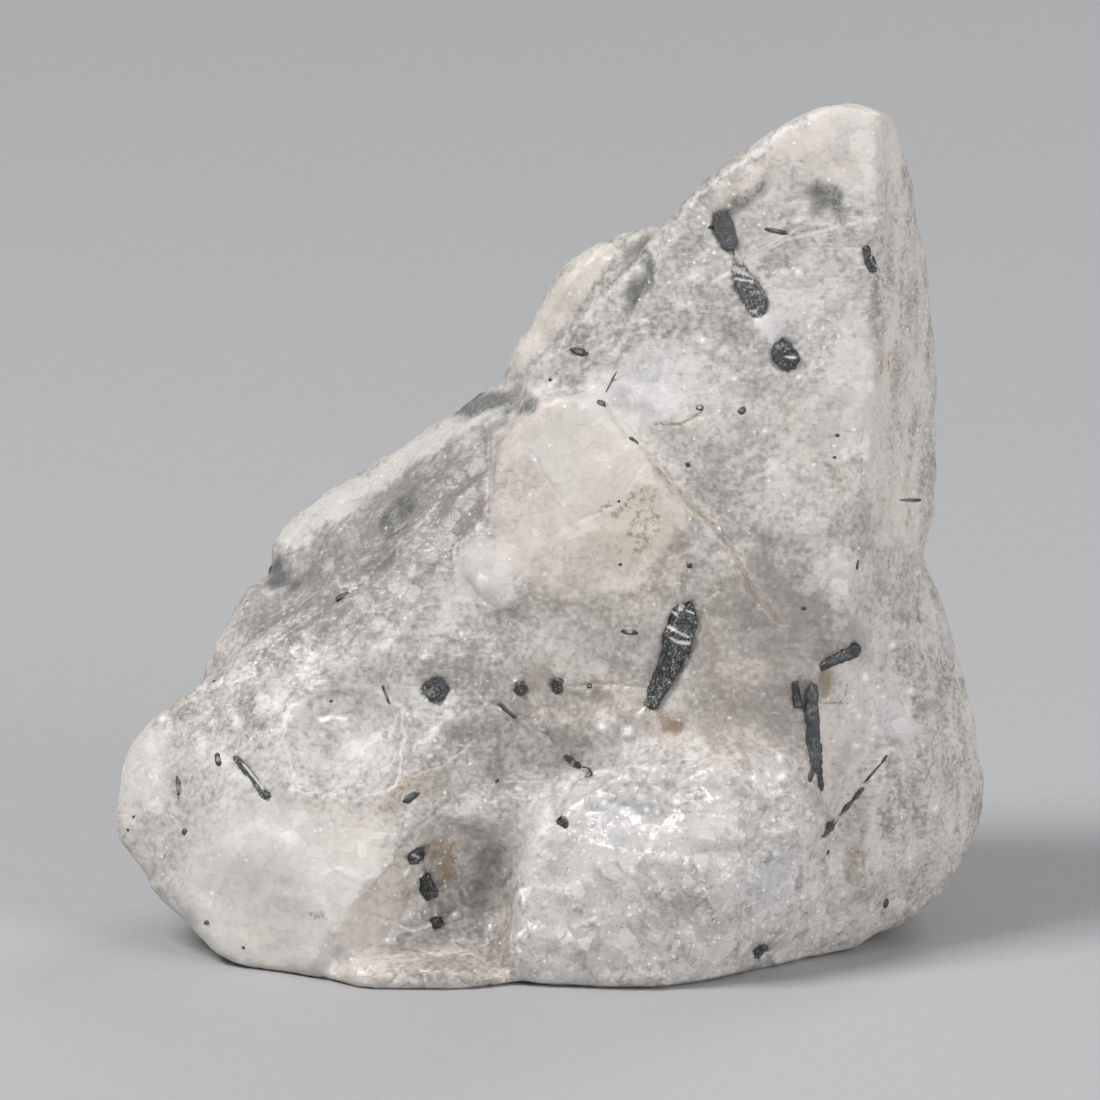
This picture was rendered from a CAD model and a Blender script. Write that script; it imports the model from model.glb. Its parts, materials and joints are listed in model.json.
"""The finish of a rough lump of milky quartz with black crystals grown through it.

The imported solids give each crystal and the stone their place. This script gives the stone its
broken, frosted, half-clear surface, its stains and cracks, gives the crystals their ribs and
grain, and adds the small flecks and the needles that lie under the skin of the stone.
"""

import math

import bmesh
import bpy
import json
import numpy as np
from bpy.props import FloatProperty, FloatVectorProperty, IntProperty, PointerProperty
from mathutils import Matrix, Vector, noise
from mathutils.bvhtree import BVHTree
from mathutils.kdtree import KDTree

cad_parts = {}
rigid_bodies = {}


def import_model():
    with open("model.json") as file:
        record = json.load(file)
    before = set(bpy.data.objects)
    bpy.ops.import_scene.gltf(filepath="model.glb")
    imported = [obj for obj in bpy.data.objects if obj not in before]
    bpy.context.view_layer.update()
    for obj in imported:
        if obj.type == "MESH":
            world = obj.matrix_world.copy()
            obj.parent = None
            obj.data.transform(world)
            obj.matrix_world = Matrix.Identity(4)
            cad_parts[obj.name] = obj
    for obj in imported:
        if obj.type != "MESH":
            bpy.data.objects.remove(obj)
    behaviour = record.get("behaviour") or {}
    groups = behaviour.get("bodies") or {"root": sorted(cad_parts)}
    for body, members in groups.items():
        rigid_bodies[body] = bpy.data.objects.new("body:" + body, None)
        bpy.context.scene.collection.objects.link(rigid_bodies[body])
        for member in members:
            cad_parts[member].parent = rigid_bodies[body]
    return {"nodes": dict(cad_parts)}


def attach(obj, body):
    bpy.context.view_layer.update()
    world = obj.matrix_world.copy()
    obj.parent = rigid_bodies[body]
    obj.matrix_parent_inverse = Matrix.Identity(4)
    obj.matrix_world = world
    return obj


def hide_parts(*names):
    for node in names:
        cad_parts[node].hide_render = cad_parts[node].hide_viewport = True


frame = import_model()

bl_info = {
    "name": "Black rutilated quartz",
    "version": (1, 0, 0),
    "blender": (4, 5, 0),
    "location": "3D View > Sidebar > Quartz",
    "description": "Finishes a lump of milky quartz with black crystals",
    "category": "Object",
}

# Shapes are worked out in millimetres and brought to metres where a mesh is made.
MM = 0.001
# The stone's face is described as it is seen from a little above: across, up and away.
VIEW_TILT = math.radians(15.0)
TO_EYE = Vector((0.0, -math.cos(VIEW_TILT), math.sin(VIEW_TILT)))
UPWARD = Vector((0.0, math.sin(VIEW_TILT), math.cos(VIEW_TILT)))
# Where the nearest point of the foot, across 0 and up 0, lies in the frame.
FOOT_FRONT = Vector((0.019, -17.291, -0.15))
BODY = "root"
# The foot is level up to this height, and the relief of the stone sets in above it.
FOOT_HEIGHT = 0.15
FOOT_BLEND = 0.8
# How far cracks and lines wander from the points given for them.
LINE_WANDER = 0.16
# The faces within this distance of a crack, a line or a glint are split into finer ones.
REFINED_BESIDE = 0.3
# A step fades out over this length at each of its ends.
STEP_FADE = 1.6
# The share of a step's height by which its high side rises and its broken side falls.
LIP_SHARE = 0.3
BREAK_SHARE = 0.75
# The coordinate of a line of sight that comes from outside the stone.
OUTSIDE = 30.0
# A line of sight starts this far above the skin, so that it clears the faces beside it.
SIGHT_START = 0.15
# What the areas and zones add to the surface.
PAINTED = ("milk", "cream", "glassy", "stain", "shade", "calm")
# The quartz's skin: how wide its small facets are, and how high its sugary grain stands.
FACET_SIZE = 1.1
GRAIN_HEIGHT = 0.055
STONE_NODE = "quartz_body"
CRYSTAL_NODES = sorted(name for name in frame["nodes"] if name != STONE_NODE)

# Broad areas of the stone's face, each an ellipse: its middle (across, up), its half sizes, how
# far it is turned in degrees, and what it adds to the surface there.
AREAS = {
    "left_face": ((-21.8, 13.2), (9.0, 8.0), 0, {"milk": 0.03, "cream": 0.1}),
    "left_top_face": ((-20.4, 20.6), (6.5, 3.4), 40, {"milk": -0.12, "glassy": 0.2}),
    "left_foot": ((-17.7, 6.4), (7.5, 6.5), 0, {"milk": 0.36, "cream": 0.12, "calm": 0.3}),
    "grey_middle": ((-5.0, 18.0), (6.0, 6.5), 0, {"milk": -0.18, "glassy": 0.25}),
    "speckled_high": ((5.0, 33.3), (2.2, 0.7), 10, {"stain": 0.45}),
    "speckled_right": ((7.0, 32.2), (0.9, 1.7), -30, {"stain": 0.4}),
    "speckled_low": ((5.4, 30.8), (2.4, 0.5), -8, {"stain": 0.35}),
    "speckled_warm": ((5.6, 31.6), (3.4, 3.2), -30, {"cream": 0.25}),
    "warm_below_step": ((3.6, 27.6), (6.5, 3.6), 0, {"milk": -0.16, "cream": 0.3}),
    "bulge_sheen": ((22.3, 19.0), (3.2, 3.2), 0, {"milk": 0.22, "cream": -0.6, "glassy": 0.5}),
    "lobe_sheen": ((6.0, 11.0), (3.6, 3.4), 0, {"milk": -0.04, "cream": -0.35}),
    "lobe_dark": ((6.2, 13.2), (1.9, 0.5), 0, {"milk": -0.2, "cream": -0.4, "shade": 0.3}),
    "lobe_dark_low": ((9.0, 6.0), (3.0, 2.0), 20, {"milk": -0.06}),
    "lobe_sheen_right": ((15.2, 8.4), (2.6, 3.4), 0, {"milk": 0.04, "cream": -0.3}),
    "dark_by_fin_rod": ((12.6, 46.0), (1.3, 3.2), 30, {"milk": -0.12}),
    "under_step": ((2.5, 19.5), (6.0, 4.0), 0, {"milk": -0.1, "cream": 0.25}),
    "fin_upper": ((10.2, 48.0), (10.0, 9.0), 40, {"milk": -0.05, "glassy": 0.15}),
    "fin_left": ((3.4, 44.0), (4.5, 5.5), 20, {"milk": -0.06, "cream": -0.2}),
    "past_elbow": ((21.1, 24.5), (0.5, 1.0), -30, {"shade": 0.4}),
    "beside_glass": ((20.1, 15.6), (0.5, 1.4), 0, {"shade": 0.3}),
    "blue_veil": ((6.1, 41.4), (4.0, 2.4), 20, {"milk": 0.25, "cream": -0.6}),
    "veil_by_stub": ((17.4, 46.3), (3.0, 2.8), 30, {"milk": 0.1, "cream": -0.4}),
    "veil_over_rod": ((15.1, 45.6), (0.7, 1.2), 30, {"milk": 0.35, "cream": -0.7}),
    "veil_right": ((20.2, 40.8), (2.6, 3.6), 0, {"milk": 0.12, "cream": -0.4}),
    "fin_tip": ((20.4, 58.4), (4.2, 3.4), 20, {"milk": 0.3, "cream": 0.3, "calm": 0.2}),
    "fin_rim": ((14.6, 56.4), (6.0, 1.0), 40, {"milk": 0.2, "cream": 0.5}),
    "clear_window": ((14.6, 23.0), (5.4, 6.5), 10, {"milk": -0.38, "cream": 0.2, "calm": 0.3}),
    "fin_lower": ((14.0, 34.5), (7.0, 6.0), 0, {"milk": -0.08, "cream": 0.1}),
    "right_bulge": ((25.2, 16.5), (5.0, 11.0), 0, {"milk": 0.0}),
    "beside_upright": ((20.2, 18.5), (1.8, 4.5), -8, {"cream": 0.6, "stain": 0.12}),
    "lobe_rim": ((1.0, 8.0), (3.0, 7.5), 5, {"milk": 0.12}),
    "back_ledge": ((-12.6, 30.4), (10.0, 4.6), 33, {"milk": -0.3, "calm": 0.3, "glassy": 0.1}),
    "ledge_rim": ((-13.6, 34.4), (9.5, 0.8), 30, {"milk": 0.4}),
    "left_rim": ((-29.0, 15.5), (2.6, 4.6), 0, {"milk": 0.3, "cream": -0.1}),
    "rust_left": ((-7.3, 9.9), (0.5, 1.4), 20, {"stain": 0.8}),
    "rust_left_low": ((-6.5, 8.7), (0.5, 0.9), -35, {"stain": 0.6}),
    "rust_fin": ((23.6, 42.5), (0.8, 2.6), 6, {"stain": 0.4}),
    "rust_right": ((21.1, 8.4), (0.8, 2.0), 0, {"stain": 0.5}),
    "rust_elbow": ((20.1, 22.6), (2.0, 0.8), 35, {"stain": 0.5}),
    "rust_by_fleck": ((-9.3, 14.0), (2.4, 1.2), 25, {"stain": 0.55}),
    "rust_below_scar": ((-11.6, 12.6), (1.0, 0.6), 0, {"stain": 0.5}),
    "rust_left_foot": ((-15.5, 5.5), (0.8, 0.5), 0, {"stain": 0.5}),
    "rust_above_rod": ((9.3, 27.1), (1.2, 0.8), 0, {"stain": 0.5}),
    "rust_beside_rod": ((7.4, 24.8), (0.7, 1.8), -10, {"stain": 0.4}),
    "rust_below_rod": ((8.3, 19.0), (0.8, 0.5), 0, {"stain": 0.55}),
    "rust_lobe": ((10.9, 18.2), (0.8, 0.8), 0, {"stain": 0.5}),
    "rust_middle": ((-1.4, 22.4), (1.8, 1.2), 0, {"stain": 0.35}),
    "rust_centre": ((7.2, 19.2), (2.4, 1.2), 0, {"stain": 0.4}),
    "smudge_top": ((18.6, 53.8), (1.1, 1.2), 0, {"shade": 0.95, "stain": 0.3}),
    "smudge_streak": ((13.6, 54.7), (1.8, 0.7), 40, {"shade": 0.85}),
    "smudge_left": ((5.9, 49.0), (0.6, 2.7), -14, {"shade": 0.95}),
    "scribble": ((-12.2, 24.1), (0.9, 1.0), 0, {"shade": 0.6}),
    "ledge_blob_low": ((-18.4, 28.7), (0.9, 0.8), 0, {"shade": 1.12}),
    "ledge_blob_next": ((-16.1, 29.0), (0.9, 0.7), 0, {"shade": 0.56}),
    "ledge_blob_middle": ((-10.2, 32.9), (0.9, 1.7), -25, {"shade": 0.98}),
    "ledge_blob_upper": ((-4.7, 40.4), (1.7, 0.7), 28, {"shade": 1.12}),
    "ledge_blob_top": ((-2.6, 40.6), (0.9, 1.1), 0, {"shade": 0.98}),
    "ledge_blob_edge": ((-3.6, 38.4), (1.3, 0.7), 45, {"shade": 0.7}),
    "ledge_streak": ((-11.2, 29.8), (2.0, 0.5), 42, {"shade": 0.63}),
    "by_centre_rod": ((6.3, 22.9), (0.5, 1.3), 12, {"shade": 0.45}),
    "right_grey": ((26.0, 19.6), (0.7, 0.6), 0, {"shade": 0.45}),
    "right_grey_low": ((23.2, 17.4), (0.7, 0.5), 0, {"shade": 0.4}),
    "pale_rectangle": ((19.4, 28.0), (1.6, 2.2), 0, {"milk": 0.15, "cream": -0.3}),
}

# Parts of the face with a clear border: their corners (across, up) and what they add inside.
ZONES = {
    "recess": (((-15.0, 0.6), (-14.3, 4.7), (-12.1, 7.8), (-10.2, 9.8), (-7.5, 10.8), (-3.4, 10.2),
                (-2.0, 7.8), (-2.6, 4.4), (-2.2, 0.6)), {"milk": -0.15, "glassy": 0.5, "cream": 0.3}),
    "front_lobe": (((-2.0, 0.6), (-2.6, 4.4), (-2.0, 7.8), (-0.3, 10.5), (1.4, 13.2), (3.4, 14.6),
                    (7.5, 15.6), (13.0, 15.3), (17.1, 13.9), (19.4, 11.2), (20.5, 6.4), (19.8, 0.6)),
                   {"milk": 0.12, "glassy": 0.75, "cream": -0.1}),
    "pale_step": (((-2.0, 40.5), (3.4, 40.9), (6.8, 36.8), (9.5, 33.0), (6.1, 27.6), (0.7, 26.9),
                   (-3.4, 29.6), (-4.3, 33.7), (-4.1, 37.1)), {"milk": 0.12, "cream": 0.4, "calm": 0.6}),
    "beside_step": (((-4.2, 37.9), (-4.3, 32.5), (-6.6, 30.4), (-6.6, 28.6), (-9.8, 27.2), (-8.6, 31.0),
                     (-5.8, 36.2)), {"milk": -0.22, "glassy": 0.15, "cream": 0.1}),
    "step_plate": (((-1.4, 37.0), (0.4, 40.7), (3.4, 40.6), (6.7, 36.7), (4.6, 33.4), (1.9, 32.2)),
                   {"milk": 0.14, "cream": -0.15, "calm": 0.2}),
    "bright_lobe": (((-6.5, 29.6), (-4.8, 31.0), (-2.7, 29.6), (-2.6, 26.9), (-4.1, 26.2),
                     (-6.1, 27.6)), {"milk": 0.4, "cream": 0.1}),
    "scar": (((-18.1, 18.0), (-15.7, 20.7), (-11.6, 20.7), (-9.9, 18.7), (-10.2, 13.9),
              (-13.0, 12.9), (-17.1, 13.9)), {"milk": -0.05, "cream": -0.25, "calm": 0.2}),
    "right_strip": (((23.4, 60.3), (24.7, 54.2), (25.6, 47.3), (25.9, 33.7), (25.2, 30.6),
                     (21.8, 31.0), (22.2, 39.1), (22.8, 47.3)), {"milk": 0.1, "calm": 0.1, "cream": 0.25}),
    "cream_lobes": (((3.4, 51.4), (0.3, 48.4), (-2.0, 43.9), (-2.0, 42.6), (-0.3, 44.3), (2.7, 48.4),
                     (4.8, 50.7)), {"cream": 0.9, "milk": 0.35, "calm": 0.4}),
}

# Small flats that catch the light: where they are seen and how large they are.
GLINTS = (
    ((21.6, 21.6), 0.42), ((23.4, 23.7), 0.3), ((21.2, 18.9), 0.34), ((22.7, 20.3), 0.2),
    ((15.65, 16.2), 0.26), ((15.75, 13.8), 0.26), ((15.9, 12.6), 0.24), ((14.9, 15.0), 0.2),
    ((-26.5, 18.75), 0.34), ((-23.05, 6.9), 0.26), ((-27.3, 14.75), 0.22), ((-22.6, 9.4), 0.18),
    ((10.2, 12.7), 0.5), ((6.15, 13.4), 0.44), ((3.6, 13.1), 0.4), ((4.9, 12.4), 0.3),
    ((7.3, 12.5), 0.3), ((13.9, 14.8), 0.44), ((15.8, 14.85), 0.4), ((24.7, 20.6), 0.34),
    ((5.3, 17.9), 0.44), ((3.6, 18.3), 0.4), ((20.9, 16.9), 0.3), ((9.4, 9.2), 0.3),
    ((5.2, 14.9), 0.4), ((3.4, 13.6), 0.34), ((2.5, 12.2), 0.3), ((6.6, 12.6), 0.26),
    ((8.8, 11.2), 0.26), ((11.4, 13.4), 0.3), ((12.8, 7.4), 0.24), ((5.6, 8.4), 0.24),
    ((3.0, 5.2), 0.22), ((9.6, 4.6), 0.24), ((15.4, 9.6), 0.26), ((17.2, 6.6), 0.24),
    ((-8.6, 4.7), 0.24), ((-11.2, 3.6), 0.2), ((-6.4, 5.4), 0.2), ((-9.9, 8.1), 0.22),
    ((10.4, 44.6), 0.26), ((12.6, 42.0), 0.24), ((17.0, 49.3), 0.24), ((18.6, 45.4), 0.26),
    ((14.6, 38.4), 0.22), ((6.0, 19.0), 0.3), ((3.6, 18.2), 0.26), ((8.8, 18.6), 0.24),
    ((-8.2, 16.2), 0.2), ((-6.0, 24.6), 0.2), ((26.4, 12.6), 0.24), ((24.6, 9.2), 0.2),
)

# Cracks and lines of the face: the points they run through, how wide they are, how deep, how
# brown and how white.
LINES = {
    "plate_edge": (((-1.4, 37.0), (0.2, 34.4), (1.9, 32.2), (4.6, 33.4), (6.6, 36.4)), 0.16, 0.06, 0.0, 0.5),
    "step_left_edge": (((-4.2, 38.2), (-4.3, 32.5), (-6.6, 30.4), (-6.3, 27.3), (-3.6, 26.3), (-2.2, 28.4)),
                       0.2, 0.05, 0.0, 0.35),
    "groove_stain": (((7.2, 35.7), (11.0, 32.1), (12.5, 30.3), (13.8, 27.6), (15.5, 25.4)),
                     0.55, 0.12, 0.6, 0.0),
    "shelf_left": (((-5.9, 22.2), (-4.9, 21.3), (-4.4, 20.1), (-3.6, 19.7)), 0.14, 0.08, 0.7, 0.0),
    "shelf_middle": (((1.6, 21.0), (3.4, 21.2), (6.2, 21.0)), 0.14, 0.08, 0.75, 0.0),
    "above_centre": (((9.2, 27.6), (9.4, 29.0), (8.8, 30.4)), 0.12, 0.05, 0.6, 0.0),
    "below_centre": (((7.0, 19.0), (7.4, 17.6), (8.6, 16.8)), 0.12, 0.05, 0.5, 0.0),
    "needle_run": (((-2.2, 18.9), (-0.4, 17.6), (1.1, 15.9)), 0.12, 0.05, 0.2, 0.4),
    "rust_thread": (((21.4, 38.6), (21.2, 36.8), (21.3, 35.0)), 0.12, 0.04, 0.6, 0.0),
    "by_upright": (((20.2, 21.2), (20.1, 20.2), (19.7, 19.6)), 0.12, 0.04, 0.7, 0.0),
    "dotted_arc": (((7.2, 38.9), (8.9, 38.9), (10.4, 39.7)), 0.24, 0.03, 1.0, 0.0),
    "small_brown": (((-3.6, 14.5), (-2.6, 14.0), (-1.9, 13.8)), 0.14, 0.05, 0.8, 0.0),
    "vein_high": (((12.3, 49.4), (16.4, 51.6), (22.6, 53.0)), 0.22, 0.03, 0.0, 0.9),
    "vein_long": (((-0.7, 43.2), (4.6, 45.4), (10.2, 47.4)), 0.16, 0.0, 0.0, 0.5),
    "vein_low": (((2.7, 43.9), (4.9, 44.8), (6.9, 45.4)), 0.16, 0.0, 0.0, 0.5),
    "fan_a": (((4.2, 50.2), (2.6, 46.4), (1.2, 43.6)), 0.14, 0.0, 0.0, 0.4),
    "fan_b": (((7.8, 51.6), (5.8, 46.6), (3.8, 41.6)), 0.14, 0.0, 0.0, 0.4),
    "ridge_line": (((-19.0, 23.8), (-13.0, 28.0), (-8.8, 32.2), (-5.2, 36.0)), 0.16, 0.0, 0.0, 0.5),
    "scar_rim": (((-17.8, 19.5), (-15.0, 20.9), (-12.0, 20.9), (-10.0, 19.4)), 0.3, 0.0, 0.0, 0.7),
    "lobe_rim_top": (((0.4, 13.0), (1.6, 14.9), (4.4, 15.3)), 0.3, 0.05, 0.0, 0.9),
    "lobe_glints": (((2.6, 15.3), (5.0, 15.0)), 0.35, 0.06, 0.0, 1.0),
    "recess_glint": (((-10.6, 4.0), (-8.4, 4.6), (-6.2, 5.2)), 0.2, 0.05, 0.0, 0.8),
    "thin_by_smudge": (((7.6, 51.2), (7.1, 49.4), (6.6, 47.7)), 0.14, 0.02, 0.5, 0.0),
    "rod_rim": (((10.3, 25.9), (10.28, 25.1), (9.05, 22.5)), 0.18, 0.0, 0.0, 1.0),
    "under_elbow": (((18.75, 21.8), (18.95, 21.2), (19.0, 20.4)), 0.5, 0.1, 0.95, 0.0),
    "beside_line": (((18.9, 19.8), (20.2, 19.75)), 0.2, 0.06, 0.8, 0.0),
    "beside_strip": (((19.2, 19.0), (19.3, 16.4), (19.5, 13.2)), 0.5, 0.0, 0.3, 0.0),
    "stub_to_rod": (((1.2, 20.9), (3.6, 21.2), (6.4, 20.9)), 0.12, 0.05, 0.6, 0.0),
    "left_edge_line": (((-30.0, 12.25), (-29.0, 12.2)), 0.16, 0.05, 0.7, 0.0),
    "fin_edge": (((11.2, 48.6), (13.4, 50.3), (15.5, 51.4), (16.9, 52.2)), 0.2, 0.03, 0.0, 1.0),
    "fin_edge_right": (((17.1, 51.7), (19.0, 52.2)), 0.18, 0.03, 0.0, 0.9),
    "scar_stroke": (((-15.75, 18.75), (-14.9, 18.82), (-14.0, 18.78)), 0.34, 0.0, 0.0, 1.4),
    "scar_outline": (((-17.8, 19.5), (-18.3, 17.4), (-17.2, 14.2), (-13.6, 13.1), (-10.6, 14.2),
                      (-9.9, 17.6), (-10.2, 19.4)), 0.2, 0.04, 0.0, 0.55),
    "recess_edge": (((-15.0, 0.9), (-14.2, 4.7), (-12.0, 7.8), (-10.2, 9.8), (-8.9, 11.0)),
                    0.2, 0.0, 0.0, 0.6),
    "lobe_border": (((-2.1, 1.2), (-2.6, 4.4), (-2.1, 7.8), (-0.4, 10.5), (1.3, 13.2)),
                    0.2, 0.0, 0.0, 0.5),
    "step_border": (((3.4, 40.9), (6.8, 36.8), (9.5, 33.0), (12.0, 30.4)), 0.16, 0.0, 0.3, 0.35),
    "recess_sparkle": (((-12.4, 5.4), (-10.8, 4.9), (-9.4, 4.2), (-8.4, 4.5)), 0.22, 0.06, 0.0, 1.1),
    "recess_sparkle_low": (((-6.8, 3.6), (-6.0, 3.7), (-5.0, 3.4)), 0.22, 0.06, 0.0, 1.1),
    "recess_fold": (((-13.6, 3.0), (-10.6, 3.4), (-7.6, 2.6), (-4.6, 3.2)), 0.2, 0.1, 0.0, 0.5),
    "recess_web": (((-7.6, 10.2), (-6.2, 8.2), (-5.6, 6.2), (-3.8, 5.0)), 0.16, 0.06, 0.0, 0.5),
    "middle_crack": (((-9.4, 14.8), (-7.2, 15.6), (-5.0, 17.4)), 0.16, 0.06, 0.0, 0.5),
    "middle_crack_low": (((-8.8, 11.4), (-6.6, 13.2), (-4.4, 14.4)), 0.16, 0.06, 0.0, 0.6),
    "wash_line": (((-15.0, 8.4), (-11.2, 6.4)), 0.2, 0.04, 0.0, 0.4),
}

# Steps where a flake broke away: the points they run through, how high they are and how far the
# broken side reaches. Walking along the points, the low side is on the right.
STEPS = {
    "recess_left": (((-16.6, 0.6), (-14.2, 4.6), (-12.0, 7.4), (-10.4, 9.8), (-8.8, 11.0)), 1.1, 5.0),
    "recess_top": (((-9.0, 11.2), (-6.6, 11.4), (-4.4, 10.4)), 0.45, 3.0),
    "lobe_left": (((-0.6, 14.0), (-1.6, 11.6), (-2.6, 8.4), (-2.5, 4.4), (-1.9, 1.0)), 0.9, 3.5),
    "lobe_top": (((15.8, 14.6), (13.0, 15.6), (9.2, 15.2), (5.8, 15.8), (3.0, 14.6), (0.6, 13.2)),
                 0.8, 3.0),
    "step_right": (((15.6, 25.2), (13.6, 28.2), (12.2, 30.8), (9.6, 33.4), (6.8, 36.6), (3.2, 40.6)),
                   0.7, 3.6),
    "step_left": (((3.2, 40.6), (-1.0, 40.6), (-3.6, 37.6), (-4.2, 34.2), (-6.4, 31.4), (-6.2, 28.4),
                   (-3.8, 26.2)), 0.6, 3.0),
    "ridge": (((-3.2, 37.4), (-6.6, 34.0), (-10.4, 30.2), (-14.6, 26.8), (-19.0, 23.6)), 0.55, 3.5),
    "scar_left": (((-14.2, 13.8), (-17.4, 14.6), (-18.2, 17.4), (-16.2, 20.4), (-12.4, 20.8)), 0.4, 3.4),
    "scar_right": (((-12.4, 20.8), (-10.2, 18.8), (-10.0, 15.2), (-12.2, 13.4), (-14.2, 13.8)), 0.4, 3.4),
    "face_edge": (((-8.0, 25.0), (-9.2, 21.0), (-9.6, 17.0), (-9.0, 13.4), (-10.2, 10.6)), 0.35, 3.2),
    "under_shelf": (((-3.4, 20.4), (0.2, 20.0), (3.6, 20.2), (6.6, 18.6), (9.8, 18.0)), 0.5, 3.4),
    "shelf_glass": (((3.0, 17.8), (6.6, 17.6), (8.2, 15.8)), 0.4, 1.8),
    "strip": (((23.6, 60.0), (23.9, 52.0), (22.6, 46.0), (21.8, 38.0), (21.4, 31.0)), 0.3, 3.4),
    "fin_cut": (((20.6, 57.0), (16.4, 52.6), (12.6, 50.6), (8.0, 49.6), (4.2, 48.4)), 0.22, 3.0),
    "fin_cut_low": (((21.0, 46.6), (17.6, 41.8), (12.6, 39.0), (8.2, 39.6), (3.6, 43.0)), 0.28, 3.2),
    "fin_scale": (((16.2, 38.4), (14.2, 35.4), (14.6, 31.6), (17.4, 29.4)), 0.3, 2.6),
    "bulge_edge": (((21.4, 21.4), (22.4, 17.0), (22.0, 12.4), (20.4, 8.6), (19.2, 3.4)), 0.5, 2.8),
    "bulge_fold": (((25.6, 26.2), (25.0, 20.8), (25.8, 14.6), (25.0, 8.6)), 0.4, 2.6),
    "lobe_chip_a": (((4.2, 3.0), (2.6, 6.0), (3.4, 9.4), (6.0, 11.0)), 0.45, 2.6),
    "lobe_chip_b": (((8.2, 13.2), (9.4, 10.6), (12.2, 9.8), (14.6, 11.4)), 0.45, 2.4),
    "lobe_chip_c": (((13.4, 3.0), (12.2, 5.6), (13.4, 8.4), (16.4, 9.2)), 0.5, 2.6),
    "lobe_chip_d": (((7.4, 1.4), (7.6, 4.2), (9.6, 6.4)), 0.4, 2.2),
    "left_flake": (((-25.4, 4.6), (-22.8, 7.4), (-21.4, 10.6), (-22.4, 14.2)), 0.22, 3.0),
    "left_low": (((-20.6, 1.6), (-18.0, 4.4), (-16.8, 8.4), (-15.2, 12.0)), 0.2, 3.0),
    "recess_chip": (((-12.6, 2.4), (-9.6, 4.4), (-6.8, 5.0), (-4.4, 7.2)), 0.4, 1.8),
}

# The same on the back, seen from behind in the plane of x and height.
BACK_STEPS = {
    "high": (((21.0, 57.0), (15.0, 49.0), (9.0, 46.0), (3.0, 41.0)), 0.7, 5.0),
    "spine": (((22.0, 50.0), (19.0, 38.0), (21.0, 26.0), (17.0, 14.0), (19.0, 3.0)), 0.9, 6.0),
    "middle": (((16.0, 34.0), (8.0, 30.0), (1.0, 33.0), (-4.0, 27.0)), 0.8, 5.0),
    "dish": (((12.0, 22.0), (6.0, 26.0), (-1.0, 22.0), (-2.0, 15.0), (5.0, 11.0), (12.0, 14.0)), 0.7, 4.5),
    "left": (((-6.0, 30.0), (-9.0, 22.0), (-7.0, 13.0), (-10.0, 4.0)), 0.8, 5.0),
    "shoulder": (((-12.0, 24.0), (-17.0, 19.0), (-16.0, 11.0), (-20.0, 5.0)), 0.6, 4.0),
    "foot": (((14.0, 9.0), (7.0, 6.0), (-1.0, 8.0), (-9.0, 5.0)), 0.6, 4.0),
}

# Broad areas of the back in the same plane.
BACK_AREAS = {
    "clear_high": ((15.0, 40.0), (5.0, 8.0), 20, {"milk": -0.3, "glassy": 0.2}),
    "milky_tip": ((20.0, 53.0), (4.0, 4.0), 0, {"milk": 0.3}),
    "cream_ridge": ((4.0, 38.0), (6.0, 3.0), 40, {"milk": 0.25, "cream": 0.4}),
    "clear_dish": ((5.0, 17.0), (6.0, 5.0), 0, {"milk": -0.35, "glassy": 0.6}),
    "milky_left": ((-14.0, 14.0), (6.0, 8.0), 0, {"milk": 0.3}),
    "warm_foot": ((12.0, 5.0), (8.0, 3.5), 0, {"cream": 0.5, "milk": 0.1}),
    "glassy_side": ((22.0, 16.0), (4.0, 9.0), 0, {"glassy": 0.5, "milk": -0.1}),
    "rust_dish": ((8.0, 13.0), (1.6, 0.7), 20, {"stain": 0.6}),
    "rust_high": ((9.0, 45.0), (0.8, 1.6), 30, {"stain": 0.5}),
    "rust_left": ((-9.0, 9.0), (0.7, 1.4), -20, {"stain": 0.5}),
    "smudge_high": ((12.0, 41.0), (0.8, 1.8), 25, {"shade": 0.8}),
    "smudge_dish": ((3.0, 15.0), (1.4, 0.7), -20, {"shade": 0.7}),
    "smudge_left": ((-13.0, 18.0), (0.8, 1.2), 10, {"shade": 0.7}),
    "smudge_low": ((17.0, 9.0), (1.2, 0.6), 40, {"shade": 0.6}),
}

# Fibres in the stone: the area's middle and half sizes, its turn, the way the fibres run in
# degrees and how strongly they show.
FIBRES = {
    "along_ridge": ((-11.4, 28.4), (11.0, 4.2), 43, 44, 0.5),
    "left_top": ((-20.4, 20.2), (7.0, 4.4), 35, 40, 0.3),
    "fin_fan": ((6.4, 46.6), (6.8, 6.4), 50, 58, 0.4),
    "fin_right": ((18.6, 48.0), (5.0, 9.0), 0, 75, 0.22),
    "lobe_sides": ((9.0, 7.6), (11.0, 8.0), 0, 84, 0.12),
    "bulge_bands": ((25.2, 15.6), (5.0, 11.0), 0, 92, 0.5),
    "strip_bands": ((24.3, 44.0), (2.0, 13.0), 0, 86, 0.7),
    "middle_grain": ((-6.0, 17.0), (5.0, 8.0), 0, 70, 0.25),
}

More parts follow.
